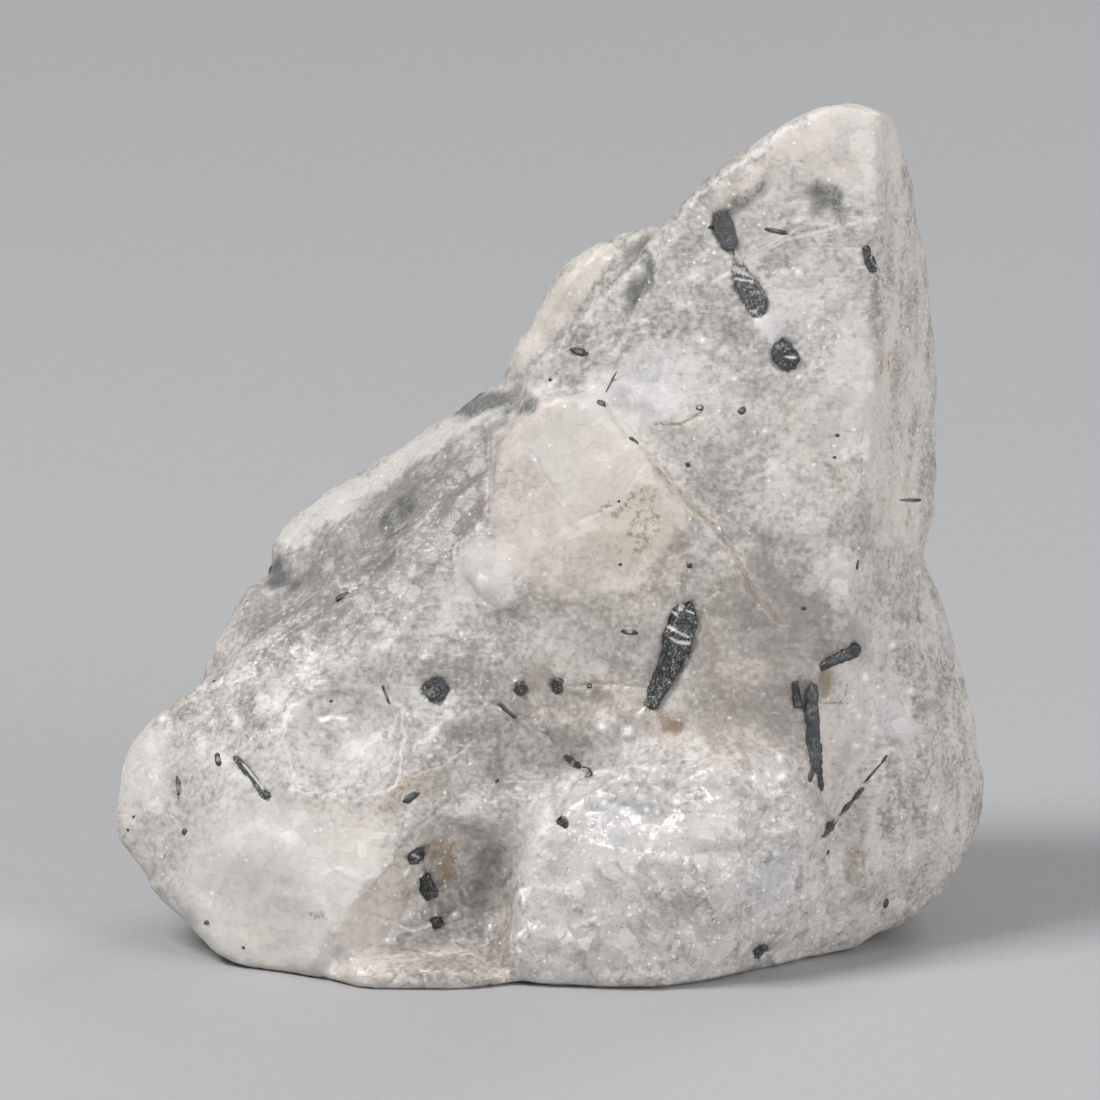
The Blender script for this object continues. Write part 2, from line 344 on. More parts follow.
# Flecks and short needles that break the surface: middle (across, up), half length, half width,
# the turn of the long side in degrees, and the share of the fleck that is pale in its middle.
FLECKS = {
    "left_ring": ((-22.7, 16.0), 0.52, 0.22, 105, 0.5),
    "left_low": ((-25.0, 11.0), 0.26, 0.22, 40, 0.1),
    "left_top": ((-23.0, 21.3), 0.16, 0.12, 0, 0.0),
    "left_dot": ((-28.5, 12.0), 0.16, 0.12, 20, 0.0),
    "foot_dot": ((-20.95, 3.1), 0.12, 0.11, 0, 0.0),
    "rust_fleck": ((-9.5, 13.4), 0.72, 0.26, 30, 0.1),
    "ridge_fleck": ((-14.1, 27.2), 0.62, 0.28, 45, 0.2),
    "sliver": ((-11.2, 20.4), 0.8, 0.13, -70, 0.3),
    "pin_head": ((3.5, 40.3), 0.34, 0.28, 0, 0.2),
    "half_moon": ((5.8, 37.7), 0.48, 0.2, 5, 0.1),
    "upper_dot": ((13.1, 39.8), 0.32, 0.24, 40, 0.1),
    "upper_ring": ((10.2, 40.0), 0.26, 0.24, 0, 0.6),
    "step_dot": ((9.4, 36.1), 0.2, 0.18, 0, 0.0),
    "above_rod": ((9.5, 29.2), 0.22, 0.2, 0, 0.0),
    "fin_dash": ((2.0, 43.8), 0.66, 0.26, -15, 0.3),
    "right_dot": ((23.0, 6.1), 0.32, 0.27, 80, 0.0),
    "edge_speck": ((19.6, 38.1), 0.16, 0.12, 0, 0.0),
    "edge_speck_low": ((19.4, 36.6), 0.14, 0.1, 0, 0.0),
    "right_sliver": ((21.0, 29.3), 0.34, 0.12, 95, 0.0),
    "window_speck": ((17.3, 26.3), 0.18, 0.13, 0, 0.0),
    "middle_speck": ((-3.6, 14.5), 0.2, 0.14, 30, 0.0),
    "lobe_speck": ((19.0, 9.6), 0.2, 0.15, 20, 0.0),
    "step_speck_a": ((0.0, 41.9), 0.14, 0.12, 0, 0.0),
    "step_speck_b": ((4.7, 33.6), 0.12, 0.1, 0, 0.0),
    "step_speck_c": ((4.8, 29.3), 0.14, 0.1, 0, 0.0),
    "brown_outline": ((5.4, 24.7), 0.62, 0.2, -5, 0.7),
    "shelf_drop": ((2.7, 21.0), 0.18, 0.16, 0, 0.3),
    "middle_needle": ((-2.9, 19.3), 0.82, 0.16, -40, 0.1),
    "fin_streak": ((15.35, 52.05), 0.86, 0.18, -12, 0.2),
    "upright_splinter": ((17.8, 14.95), 0.62, 0.26, 70, 0.0),
    "top_spike": ((11.15, 52.35), 0.42, 0.16, 10, 0.0),
    "brown_dot": ((-23.5, 4.8), 0.2, 0.15, 20, 0.2),
    "tiny_dot": ((-14.95, 19.95), 0.12, 0.1, 0, 0.0),
    "edge_dot": ((-28.9, 11.1), 0.13, 0.1, 0, 0.0),
    "edge_needle": ((24.4, 33.7), 1.7, 0.12, -6, 0.2),
    "left_green_rod": ((-25.4, 13.9), 0.9, 0.24, 100, 0.5),
    "needle_tail": ((22.2, 15.2), 1.3, 0.1, 50, 0.2),
    "pin_needle": ((4.0, 41.4), 1.1, 0.07, 62, 0.3),
}

# Crystals that stay under the skin of the stone: the ends (across, up), the radius and how deep
# they lie below the surface.
VEILED = {
    "long_in_fin": ((6.4, 50.4), (5.2, 45.9), 0.3, 0.55),
    "top_grain": ((18.1, 54.6), (19.2, 53.0), 0.75, 0.75),
    "top_smudge": ((12.2, 54.1), (14.9, 55.8), 0.4, 0.65),
    "ledge_low": ((-18.9, 28.7), (-17.8, 28.9), 0.75, 1.0),
    "ledge_next": ((-16.6, 29.0), (-15.6, 29.2), 0.55, 1.0),
    "ledge_middle": ((-10.7, 31.6), (-9.8, 34.2), 0.6, 0.9),
    "ledge_upper": ((-6.0, 39.6), (-3.8, 41.0), 0.5, 0.7),
    "ledge_top": ((-2.9, 40.2), (-2.4, 41.2), 0.62, 0.7),
    "ledge_edge": ((-4.6, 37.8), (-2.8, 39.4), 0.45, 0.8),
    "ledge_dash": ((-12.2, 28.9), (-10.2, 30.5), 0.3, 0.6),
    "grey_scribble": ((-12.4, 23.6), (-12.0, 24.8), 0.6, 0.7),
    "by_rod": ((6.45, 21.9), (6.95, 23.3), 0.36, 0.5),
    "past_elbow": ((20.9, 24.0), (21.4, 24.9), 0.26, 0.4),
    "right_haze": ((25.6, 19.4), (26.4, 19.9), 0.45, 0.7),
    "right_haze_low": ((22.7, 17.2), (23.6, 17.5), 0.35, 0.6),
    "behind_needle": ((21.4, 14.2), (23.4, 16.4), 0.22, 0.45),
    "upper_left_speck": ((-10.2, 19.8), (-10.0, 20.3), 0.3, 0.5),
}

# Needles that reach the sides and the back, where the photograph does not show the stone: the
# place on the surface (x, y, z), the way the needle lies, the half length and the half width.
UNSEEN_FLECKS = {
    "back_rod": ((6.0, OUTSIDE, 34.0), (0.5, 0.0, -0.86), 2.8, 0.5),
    "back_rod_low": ((-8.0, OUTSIDE, 12.0), (0.8, 0.0, 0.6), 2.0, 0.42),
    "back_rod_right": ((19.0, OUTSIDE, 30.0), (-0.3, 0.0, 0.95), 1.8, 0.45),
    "back_stub": ((0.0, OUTSIDE, 20.0), (1.0, 0.0, 0.2), 0.7, 0.6),
    "back_stub_high": ((12.0, OUTSIDE, 38.0), (0.2, 0.0, 1.0), 0.6, 0.5),
    "back_fleck_high": ((17.0, OUTSIDE, 44.0), (0.2, 0.0, 1.0), 0.8, 0.3),
    "back_fleck_mid": ((14.0, OUTSIDE, 24.0), (1.0, 0.0, 0.3), 0.6, 0.35),
    "back_fleck_low": ((2.0, OUTSIDE, 8.0), (0.6, 0.0, -0.8), 0.7, 0.25),
    "back_fleck_left": ((-18.0, OUTSIDE, 15.0), (0.4, 0.0, 0.9), 0.55, 0.3),
    "back_needle": ((18.0, OUTSIDE, 16.0), (-0.7, 0.0, 0.7), 1.6, 0.14),
    "right_side_rod": ((OUTSIDE, 13.0, 17.0), (0.0, 0.6, 0.8), 1.6, 0.3),
    "right_side_fleck": ((OUTSIDE, 10.0, 34.0), (0.0, 1.0, 0.2), 0.5, 0.25),
    "right_side_low": ((OUTSIDE, 2.0, 8.0), (0.0, 0.5, -0.9), 0.6, 0.2),
    "left_side_fleck": ((-OUTSIDE, 4.0, 9.0), (0.0, 0.8, 0.6), 0.6, 0.22),
}

# The wall of a pocket is drawn in from the first distance on, fully from the second on, and ends
# a little inside the crystal. The passes even out what lies between.
SEAM_REACH = 1.1
SEAM_CLOSE = 0.45
SEAM_INSIDE = 0.07
SEAM_SMOOTHING = 3
# Stone nearer to a crystal than this belongs to its pocket and does not set the level.
LEVEL_GAP = 0.75
# Crystals that narrow downwards as they are seen: the line across that they narrow to, and the
# heights between which they do.
NARROWED = {"crystal_stub_wedge": (0.4, 20.3, 21.7)}
# How far a crystal stands above the broken face.
LIFT = 0.1
LIFTS = {"crystal_fin_stub": 0.22, "crystal_stub_left": 0.2, "crystal_left": 0.16,
         "crystal_chip_foot": 0.25, "crystal_upright": 1.5, "crystal_elbow": 1.5,
         "crystal_beside": 0.8, "crystal_edge_upper": 0.8}

# How granular and how grey single crystals are.
CRYSTAL_LOOKS = {
    "crystal_centre": (0.8, 0.05),
    "crystal_fin_top": (0.35, 0.5),
    "crystal_fin_middle": (0.9, 0.5),
    "crystal_fin_stub": (0.7, 0.15),
    "crystal_upright": (0.12, 0.4),
    "crystal_elbow": (0.3, 0.2),
    "crystal_beside": (0.3, 0.15),
    "crystal_left": (0.8, 0.35),
    "crystal_needle_right": (0.1, 0.45),
    "crystal_needle_middle": (0.3, 0.4),
}
USUAL_LOOK = (0.6, 0.08)

# Pale cracks and rims of single crystals: where they are seen (across, up) and how wide.
PALE_SPOTS = {
    "crystal_centre": (((8.05, 25.05), (8.55, 24.8), 0.08), ((8.5, 24.8), (9.4, 24.35), 0.04),
                       ((8.25, 24.28), (8.7, 24.0), 0.05), ((8.7, 24.0), (9.5, 23.92), 0.08),
                       ((8.25, 26.1), (8.6, 25.9), 0.03), ((9.3, 26.15), (9.8, 25.95), 0.03)),
    "crystal_fin_stub": (((16.1, 43.45), (16.75, 43.4), 0.04),),
    "crystal_fin_middle": (((12.3, 49.5), (13.6, 49.0), 0.03), ((12.6, 48.8), (13.8, 48.6), 0.03)),
    "crystal_recess_top": (((-9.4, 9.5), (-9.0, 9.3), 0.04),),
    "crystal_left": (((-20.9, 15.6), (-19.6, 14.0), 0.03),),
}

# Where the stone lies thinly over a crystal: the same, with soft edges.
VEILS = {
    "crystal_centre": (((8.93, 27.2), (8.95, 26.25), 0.1),),
    "crystal_fin_middle": (((13.9, 46.2), (14.4, 45.4), 0.5), ((12.6, 49.5), (13.9, 48.9), 0.16),
                           ((12.4, 50.4), (13.2, 50.0), 0.25), ((14.8, 48.6), (14.2, 49.2), 0.2)),
    "crystal_fin_stub": (((15.2, 45.4), (15.4, 45.0), 0.4),),
    "crystal_needle_right": (((19.5, 11.85), (19.75, 12.1), 0.1),),
}

# Soft boxes: where each stands and how large it is, in metres, with its strength in watts.
LIGHTS = {
    "key": ((-0.34, -0.16, 0.52), 0.22, 3.2),
    "fill": ((0.55, -0.50, 0.30), 0.45, 3.0),
    "rim": ((0.30, 0.45, 0.42), 0.25, 0.9),
}


class StoneSettings(bpy.types.PropertyGroup):
    grain: FloatProperty(
        name="Grain", description="Size of the faces of the stone's skin", default=0.4 * MM,
        min=0.1 * MM, max=2 * MM, subtype="DISTANCE", unit="LENGTH")
    softening: IntProperty(
        name="Softening", description="Passes that round the flat faces of the solid", default=2,
        min=0, max=30)
    relief: FloatProperty(
        name="Relief", description="Height of the broken ledges", default=0.12 * MM,
        min=0.0, max=1 * MM, subtype="DISTANCE", unit="LENGTH")
    milk_colour: FloatVectorProperty(
        name="Milky colour", description="Colour of the milky quartz", subtype="COLOR",
        size=4, min=0.0, max=1.0, default=(0.67, 0.64, 0.608, 1.0))
    clear_colour: FloatVectorProperty(
        name="Clear colour", description="Colour of the clearer quartz", subtype="COLOR",
        size=4, min=0.0, max=1.0, default=(0.365, 0.333, 0.308, 1.0))
    cream_colour: FloatVectorProperty(
        name="Cream colour", description="Colour of the warm, sugary parts", subtype="COLOR",
        size=4, min=0.0, max=1.0, default=(0.74, 0.66, 0.54, 1.0))
    blue_colour: FloatVectorProperty(
        name="Veil colour", description="Colour of the cold, cloudy veils", subtype="COLOR",
        size=4, min=0.0, max=1.0, default=(0.70, 0.71, 0.75, 1.0))
    stain_colour: FloatVectorProperty(
        name="Stain colour", description="Colour of the rust in the cracks", subtype="COLOR",
        size=4, min=0.0, max=1.0, default=(0.26, 0.175, 0.10, 1.0))
    shade_colour: FloatVectorProperty(
        name="Shade colour", description="Colour of crystals seen dimly through the stone",
        subtype="COLOR", size=4, min=0.0, max=1.0, default=(0.10, 0.11, 0.115, 1.0))


class CrystalSettings(bpy.types.PropertyGroup):
    grain: FloatProperty(
        name="Grain", description="Size of the faces of a crystal's skin", default=0.1 * MM,
        min=0.05 * MM, max=1 * MM, subtype="DISTANCE", unit="LENGTH")
    ribs: FloatProperty(
        name="Ribs", description="Height of the ribs along a crystal", default=0.07 * MM,
        min=0.0, max=0.5 * MM, subtype="DISTANCE", unit="LENGTH")
    colour: FloatVectorProperty(
        name="Crystal colour", description="Colour of the black crystals", subtype="COLOR",
        size=4, min=0.0, max=1.0, default=(0.011, 0.012, 0.013, 1.0))
    dust_colour: FloatVectorProperty(
        name="Dust colour", description="Colour of the quartz grains on the crystals",
        subtype="COLOR", size=4, min=0.0, max=1.0, default=(0.42, 0.42, 0.42, 1.0))


class StageSettings(bpy.types.PropertyGroup):
    floor_size: FloatProperty(
        name="Floor size", description="Side of the floor", default=3.0, min=0.5, max=20.0,
        subtype="DISTANCE", unit="LENGTH")
    floor_colour: FloatVectorProperty(
        name="Floor colour", description="Colour of the floor", subtype="COLOR", size=4,
        min=0.0, max=1.0, default=(0.44, 0.44, 0.45, 1.0))
    picture_width: FloatProperty(
        name="Picture width", description="Width that the picture takes in at the stone",
        default=75.02 * MM, min=0.01, max=1.0, subtype="DISTANCE", unit="LENGTH")
    picture_middle: FloatProperty(
        name="Picture middle", description="Height of the picture's middle, as it is seen",
        default=30.28 * MM, min=0.0, max=0.1, subtype="DISTANCE", unit="LENGTH")
    camera_distance: FloatProperty(
        name="Camera distance", description="Distance from the camera to the stone", default=2.2,
        min=0.2, max=10.0, subtype="DISTANCE", unit="LENGTH")


def seen(across, up):
    """The point of the face plane, through the nearest point of the foot, that is seen there."""
    return FOOT_FRONT + Vector((across, 0.0, 0.0)) + UPWARD * up


def as_object(name, bm):
    """Put a bmesh drawn in millimetres into the scene, in metres, as a piece of the object."""
    bmesh.ops.scale(bm, vec=(MM, MM, MM), verts=bm.verts)
    mesh = bpy.data.meshes.new(name)
    bm.to_mesh(mesh)
    bm.free()
    mesh.shade_smooth()
    piece = bpy.data.objects.new(name, mesh)
    bpy.context.scene.collection.objects.link(piece)
    return piece


def node_bmesh(name):
    """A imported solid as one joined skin, in millimetres."""
    bm = bmesh.new()
    bm.from_mesh(frame["nodes"][name].data)
    bmesh.ops.remove_doubles(bm, verts=bm.verts, dist=1e-6)
    bmesh.ops.scale(bm, vec=(1 / MM, 1 / MM, 1 / MM), verts=bm.verts)
    return bm


def resurfaced(bm, grain, softening):
    """The same shape with even small faces and softened edges, in millimetres."""
    mesh = bpy.data.meshes.new("resurfacing")
    bm.to_mesh(mesh)
    bm.free()
    helper = bpy.data.objects.new("resurfacing", mesh)
    bpy.context.scene.collection.objects.link(helper)
    remesh = helper.modifiers.new("even faces", "REMESH")
    remesh.mode = "VOXEL"
    remesh.voxel_size = grain
    smooth = helper.modifiers.new("softened", "SMOOTH")
    smooth.factor = 0.5
    smooth.iterations = softening
    graph = bpy.context.evaluated_depsgraph_get()
    shaped = bpy.data.meshes.new_from_object(helper.evaluated_get(graph))
    bpy.data.objects.remove(helper, do_unlink=True)
    fresh = bmesh.new()
    fresh.from_mesh(shaped)
    bpy.data.meshes.remove(shaped)
    fresh.normal_update()
    return fresh


def places(bm):
    return np.array([vertex.co for vertex in bm.verts])


def facing(bm):
    return np.array([vertex.normal for vertex in bm.verts])


def move_to(bm, points):
    for vertex, point in zip(bm.verts, points):
        vertex.co = point
    bm.normal_update()


def on_face_plane(points):
    """Where points are seen on the face plane: across and up, as two columns."""
    offset = points - np.array(FOOT_FRONT)
    return np.stack([offset[:, 0], offset @ np.array(UPWARD)], axis=1)


def visible(points, normals, skin):
    """How openly each point shows on the face: 1 in full view, 0 hidden or turned away."""
    turned = np.clip((normals @ np.array(TO_EYE) + 0.05) / 0.3, 0.0, 1.0)
    open_to_eye = np.zeros(len(points))
    for index in np.nonzero(turned > 0.0)[0]:
        start = Vector(points[index]) + Vector(normals[index]) * SIGHT_START
        if skin.ray_cast(start, TO_EYE)[0] is None:
            open_to_eye[index] = turned[index]
    return open_to_eye


def noise_at(points, size, seed=0.0):
    """Smooth noise between about -1 and 1 at each point, with lumps of this size."""
    drift = Vector((seed, seed * 1.7, seed * 0.6))
    return np.array([noise.noise(Vector(point) / size + drift) for point in points])


def ellipse_weight(flat, middle, half, turn):
    """1 in the middle of an ellipse on the face plane, falling softly to 0 past its rim."""
    angle = math.radians(turn)
    offset = flat - np.array(middle)
    along = offset @ np.array([math.cos(angle), math.sin(angle)]) / half[0]
    beside = offset @ np.array([-math.sin(angle), math.cos(angle)]) / half[1]
    reach = np.sqrt(along ** 2 + beside ** 2)
    share = np.clip((1.35 - reach) / 0.7, 0.0, 1.0)
    return share * share * (3 - 2 * share)


def line_distance(flat, points):
    """How far each place on the face plane is from a line through points."""
    nearest = np.full(len(flat), 1e9)
    for start, end in zip(points[:-1], points[1:]):
        start = np.array(start)
        run = np.array(end) - start
        share = np.clip((flat - start) @ run / (run @ run), 0.0, 1.0)
        gap = np.linalg.norm(flat - start - share[:, None] * run, axis=1)
        nearest = np.minimum(nearest, gap)
    return nearest


def zone_weight(flat, corners, edge):
    """1 inside an outline on the face plane and 0 outside it, with an edge of this width."""
    ring = list(corners) + [corners[0]]
    inside = np.zeros(len(flat), bool)
    for (x, y), (next_x, next_y) in zip(ring[:-1], ring[1:]):
        crosses = (flat[:, 1] < y) != (flat[:, 1] < next_y)
        share = (flat[:, 1] - y) / (next_y - y or 1.0)
        inside ^= crosses & (flat[:, 0] < x + share * (next_x - x))
    gap = line_distance(flat, ring)
    return np.clip(np.where(inside, gap, -gap) / edge + 0.5, 0.0, 1.0)


def refine_near_lines(bm, shown):
    """Split the faces that the cracks and lines run through into finer ones."""
    flat = on_face_plane(places(bm))
    near = np.zeros(len(flat), bool)
    for points, width, *rest in LINES.values():
        near |= line_distance(flat, points) < width / 2 + REFINED_BESIDE
    for middle, radius in GLINTS:
        near |= np.linalg.norm(flat - np.array(middle), axis=1) < radius + REFINED_BESIDE
    near &= shown > 0.0
    bm.edges.ensure_lookup_table()
    edges = [edge for edge in bm.edges if near[edge.verts[0].index] or near[edge.verts[1].index]]
    bmesh.ops.subdivide_edges(bm, edges=edges, cuts=2, use_grid_fill=True)
    bm.normal_update()
    bm.verts.index_update()


def side_of_line(flat, points):
    """How far each place lies to the right of a line through points, negative to its left, and
    how fully it lies beside the line and not past its ends."""
    nearest = np.full(len(flat), 1e9)
    signed = np.zeros(len(flat))
    run_before = 0.0
    where = np.zeros(len(flat))
    for start, end in zip(points[:-1], points[1:]):
        start = np.array(start)
        run = np.array(end) - start
        length = np.linalg.norm(run)
        share = np.clip((flat - start) @ run / (run @ run), 0.0, 1.0)
        offset = flat - start - share[:, None] * run
        gap = np.linalg.norm(offset, axis=1)
        right = (offset[:, 0] * run[1] - offset[:, 1] * run[0]) / length
        closer = gap < nearest
        nearest = np.where(closer, gap, nearest)
        signed = np.where(closer, np.where(right >= 0.0, gap, -gap), signed)
        where = np.where(closer, run_before + share * length, where)
        run_before += length
    ends = np.minimum(where, run_before - where)
    return signed, np.clip(ends / STEP_FADE, 0.0, 1.0)


def sideways(points, size, first, second, amount):
    """Noise in both directions of the face plane, which bends the lines and outlines on it."""
    return np.stack([noise_at(points, size, first), noise_at(points, size, second)], axis=1) * amount


def above_foot(points):
    """0 on the foot, which stays level, rising to 1 a little above it."""
    return np.clip((points[:, 2] - FOOT_HEIGHT) / FOOT_BLEND, 0.0, 1.0)


def paint(found, areas, flat, mask):
    """Add what each elliptical area says to the surface, where the mask is."""
    for middle, half, turn, adds in areas.values():
        weight = ellipse_weight(flat, middle, half, turn) * mask
        for name, amount in adds.items():
            found[name] = found[name] + weight * amount


def paint_zones(found, flat, edge, mask):
    """Add what each zone says to the surface, where the mask is, with borders of this width."""
    for corners, adds in ZONES.values():
        weight = zone_weight(flat, corners, edge) * mask
        for name, amount in adds.items():
            found[name] = found[name] + weight * amount


def ledges(bent, steps, cliff_width):
    """How far the stone stands out at its steps: a lip on the high side and a break below it."""
    rise = np.zeros(len(bent))
    for line, height, reach in steps.values():
        signed, beside = side_of_line(bent, line)
        cliff = np.clip(signed / cliff_width + 0.5, 0.0, 1.0)
        back = np.clip(1.0 - signed / reach, 0.0, 1.0) ** 1.6
        lip = np.clip(1.0 + signed / (reach * 0.8), 0.0, 1.0) ** 2
        rise += (lip * LIP_SHARE * (1.0 - cliff) - back * cliff * BREAK_SHARE) * height * beside
    return rise


def flats_at(points, size, seed):
    """A chipped surface: cells with flat, tilted faces and sharp steps between them."""
    drift = Vector((seed, seed * 0.7, seed * 1.9))
    result = np.empty(len(points))
    for index, point in enumerate(points):
        place = Vector(point) / size + drift
        place = place + noise.noise_vector(place * 0.9) * 0.45
        middle = noise.voronoi(place)[1][0]
        tilt = noise.cell_vector(middle * 7.3)
        result[index] = (place - middle).dot(tilt)
    return result


def behind(normals):
    """How squarely each point faces the back: 1 on the back, 0 elsewhere."""
    return np.clip((normals[:, 1] - 0.1) / 0.4, 0.0, 1.0)


def plates_at(points, size, seed):
    """Patches with clear borders, each with its own value between -1 and 1."""
    drift = Vector((seed, seed * 0.8, seed * 1.7))
    result = np.empty(len(points))
    for index, point in enumerate(points):
        place = Vector(point) / size + drift
        place = place + noise.noise_vector(place * 1.3) * 0.4
        result[index] = noise.cell(noise.voronoi(place)[1][0] * 9.1)
    return result


def break_away(bm, shown):
    """Give the softened stone its broad swells and the steps where flakes broke away."""
    points = places(bm)
    normals = facing(bm)
    bend = sideways(points, 3.0, 41.0, 47.0, 0.7) + sideways(points, 1.1, 43.0, 49.0, 0.25)
    rise = noise_at(points, 5.0, 3.0) * 0.22
    rise += ledges(on_face_plane(points) + bend, STEPS, 0.3) * shown
    rise += ledges(points[:, [0, 2]] + bend, BACK_STEPS, 0.4) * behind(normals)
    move_to(bm, points + normals * (rise * above_foot(points))[:, None])


def break_surface(bm, shown, relief):
    """Give the stone its ledges, chips and small pits."""
    points = places(bm)
    normals = facing(bm)
    flat = on_face_plane(points)
    front = np.where(shown > 0.0, 1.0, 0.0)
    found = dict.fromkeys(PAINTED, 0.0)
    paint(found, AREAS, flat, front)
    paint_zones(found, flat, 0.8, front)
    glassy = 0.2 + 0.2 * noise_at(points, 8.0, 13.0) + found["glassy"] - 0.5 * found["calm"]
    glassy = np.clip(glassy, 0.08, 1.2)
    rise = noise_at(points, 2.0, 5.0) * 0.06
    rise += flats_at(points, 4.2, 1.0) * relief * 3.0 * np.clip(glassy, 0.35, 0.6)
    rise += flats_at(points, 2.0, 7.0) * relief * 2.4 * np.clip(glassy, 0.14, 0.8)
    rise += flats_at(points, 1.0, 9.0) * relief * 1.2 * np.clip(glassy - 0.1, 0.0, 0.8)
    rise += noise_at(points, 0.7, 9.0) * 0.02
    move_to(bm, points + normals * (rise * above_foot(points))[:, None])


def open_cracks(bm, shown):
    """Press the cracks and lines of the face into the surface."""
    points = places(bm)
    normals = facing(bm)
    flat = on_face_plane(points) + sideways(points, 0.9, 11.0, 17.0, LINE_WANDER)
    sink = np.zeros(len(points))
    for line, width, depth, *rest in LINES.values():
        share = np.clip(1.0 - line_distance(flat, line) / (width / 2 + 0.08), 0.0, 1.0)
        sink = np.maximum(sink, share * depth)
    move_to(bm, points - normals * (sink * shown)[:, None])


def level_foot(bm):
    """Keep the foot flat on the ground."""
    for vertex in bm.verts:
        if vertex.co.z < 0.12:
            vertex.co.z = max(0.0, vertex.co.z * 0.5)


def layered(points, size, octaves, warp, seed):
    """Noise of several sizes, bent by broader noise, between about -1 and 1."""
    drift = Vector((seed, seed * 0.9, seed * 1.4))
    result = np.empty(len(points))
    for index, point in enumerate(points):
        place = Vector(point) / size + drift
        place += noise.noise_vector(place * 0.5) * warp
        value = 0.0
        for octave in range(octaves):
            value += noise.noise(place * 2 ** octave) / 1.7 ** octave
        result[index] = value
    return result


def fibre_pattern(flat, points, way):
    """Fine fibres that run one way across the face plane."""
    angle = math.radians(way)
    along = flat @ np.array([math.cos(angle), math.sin(angle)])
    beside = flat @ np.array([-math.sin(angle), math.cos(angle)])
    spots = np.stack([beside / 0.7, along / 5.0, points[:, 1] / 3.0], axis=1)
    return layered(spots, 1.0, 2, 0.5, 51.0)


def surface_qualities(bm, shown):
    """How milky, creamy, glassy, stained and shaded each point of the stone is."""
    points = places(bm)
    flat = on_face_plane(points)
    wobble = np.stack([layered(points, 3.4, 3, 0.6, 21.0), layered(points, 3.4, 3, 0.6, 27.0)], axis=1)
    soft = flat + wobble * 1.1
    front = np.where(shown > 0.0, 1.0, 0.0)
    clouds = layered(points, 3.2, 4, 0.8, 2.0)
    veils = layered(points, 5.5, 3, 1.4, 61.0)
    threads = np.clip(1.0 - np.abs(veils) / 0.07, 0.0, 1.0)
    hairs = np.clip(1.0 - np.abs(layered(points, 2.6, 3, 1.2, 71.0)) / 0.08, 0.0, 1.0)
    found = {
        "milk": 0.56 + 0.08 * noise_at(points, 9.0, 2.0) + 0.13 * clouds,
        "cream": 0.12 + 0.3 * noise_at(points, 8.0, 31.0),
        "glassy": 0.25 + 0.2 * noise_at(points, 7.0, 33.0),
        "stain": np.clip(0.6 * layered(points, 5.0, 3, 0.5, 37.0) - 0.32, 0.0, 0.7),
        "shade": np.zeros(len(points)),
        "calm": np.zeros(len(points)),
        "frost": np.zeros(len(points)),
        "fibre": np.full(len(points), 0.12),
        "steep": np.clip(0.5 + 0.5 * noise_at(points, 6.0, 91.0), 0.0, 1.0),
    }
    paint(found, AREAS, soft, front)
    paint(found, BACK_AREAS, points[:, [0, 2]] + wobble * 1.1, behind(facing(bm)))
    paint_zones(found, flat + wobble * 0.25, 0.5, front)
    busy = 1.0 - 0.6 * np.clip(found["calm"], 0.0, 1.0)
    found["milk"] += (0.16 * threads + 0.12 * hairs) * busy
    found["milk"] += (0.10 * plates_at(points, 3.4, 5.0) + 0.04 * plates_at(points, 1.5, 8.0)) * busy
    for centre, half, turn, way, strength in FIBRES.values():
        weight = ellipse_weight(soft, centre, half, turn) * front
        found["milk"] += weight * strength * 0.5 * fibre_pattern(flat, points, way)
        found["fibre"] += weight * strength * 0.9
        steepness = np.clip((way - 42.0) / 33.0, 0.0, 1.0)
        found["steep"] += weight * (steepness - found["steep"])
    fine = flat + sideways(points, 0.9, 11.0, 17.0, LINE_WANDER)
    for line, width, depth, brown, white in LINES.values():
        share = np.clip(1.3 - line_distance(fine, line) / (width / 2), 0.0, 1.0) * shown
        found["stain"] = np.maximum(found["stain"], share * brown)
        found["frost"] = np.maximum(found["frost"], share * white)
    for middle, radius in GLINTS:
        away = np.linalg.norm(fine - np.array(middle), axis=1) / radius
        found["frost"] = np.maximum(found["frost"], np.clip(1.9 - 1.5 * away, 0.0, 1.4) * shown)
    found["frost"] = np.maximum(found["frost"], 0.7 * sharp_edges(bm))
    return {name: np.clip(values, -1.0, 1.4) for name, values in found.items()}


def sharp_edges(bm):
    """1 on the rims of ledges, where the skin bends outwards, and 0 on its flats."""
    result = np.zeros(len(bm.verts))
    for index, vertex in enumerate(bm.verts):
        bend = 0.0
        for edge in vertex.link_edges:
            away = edge.other_vert(vertex).co - vertex.co
            bend -= away.normalized().dot(vertex.normal)
        result[index] = bend / max(1, len(vertex.link_edges))
    return np.clip((result - 0.12) / 0.3, 0.0, 1.0)


def write_attribute(mesh, name, values):
    attribute = mesh.attributes.new(name, "FLOAT", "POINT")
    attribute.data.foreach_set("value", np.asarray(values, np.float32))


def add(tree, kind, inputs=None, **settings):
    """Add a shader node, set it up, and fill or link its inputs by name or number."""
    node = tree.nodes.new("ShaderNode" + kind)
    for name, value in settings.items():
        setattr(node, name, value)
    for key, value in (inputs or {}).items():
        if isinstance(value, bpy.types.NodeSocket):
            tree.links.new(value, node.inputs[key])
        else:
            node.inputs[key].default_value = value
    return node


def calc(tree, operation, first, second=0.0, third=0.0):
    node = add(tree, "Math", {0: first, 1: second, 2: third}, operation=operation)
    return node.outputs[0]


def span(tree, value, low, high, start=0.0, end=1.0):
    """The value brought from low..high to start..end, and held there."""
    node = add(tree, "MapRange", {"Value": value, "From Min": low, "From Max": high,
                                  "To Min": start, "To Max": end}, interpolation_type="SMOOTHSTEP")
    return node.outputs["Result"]


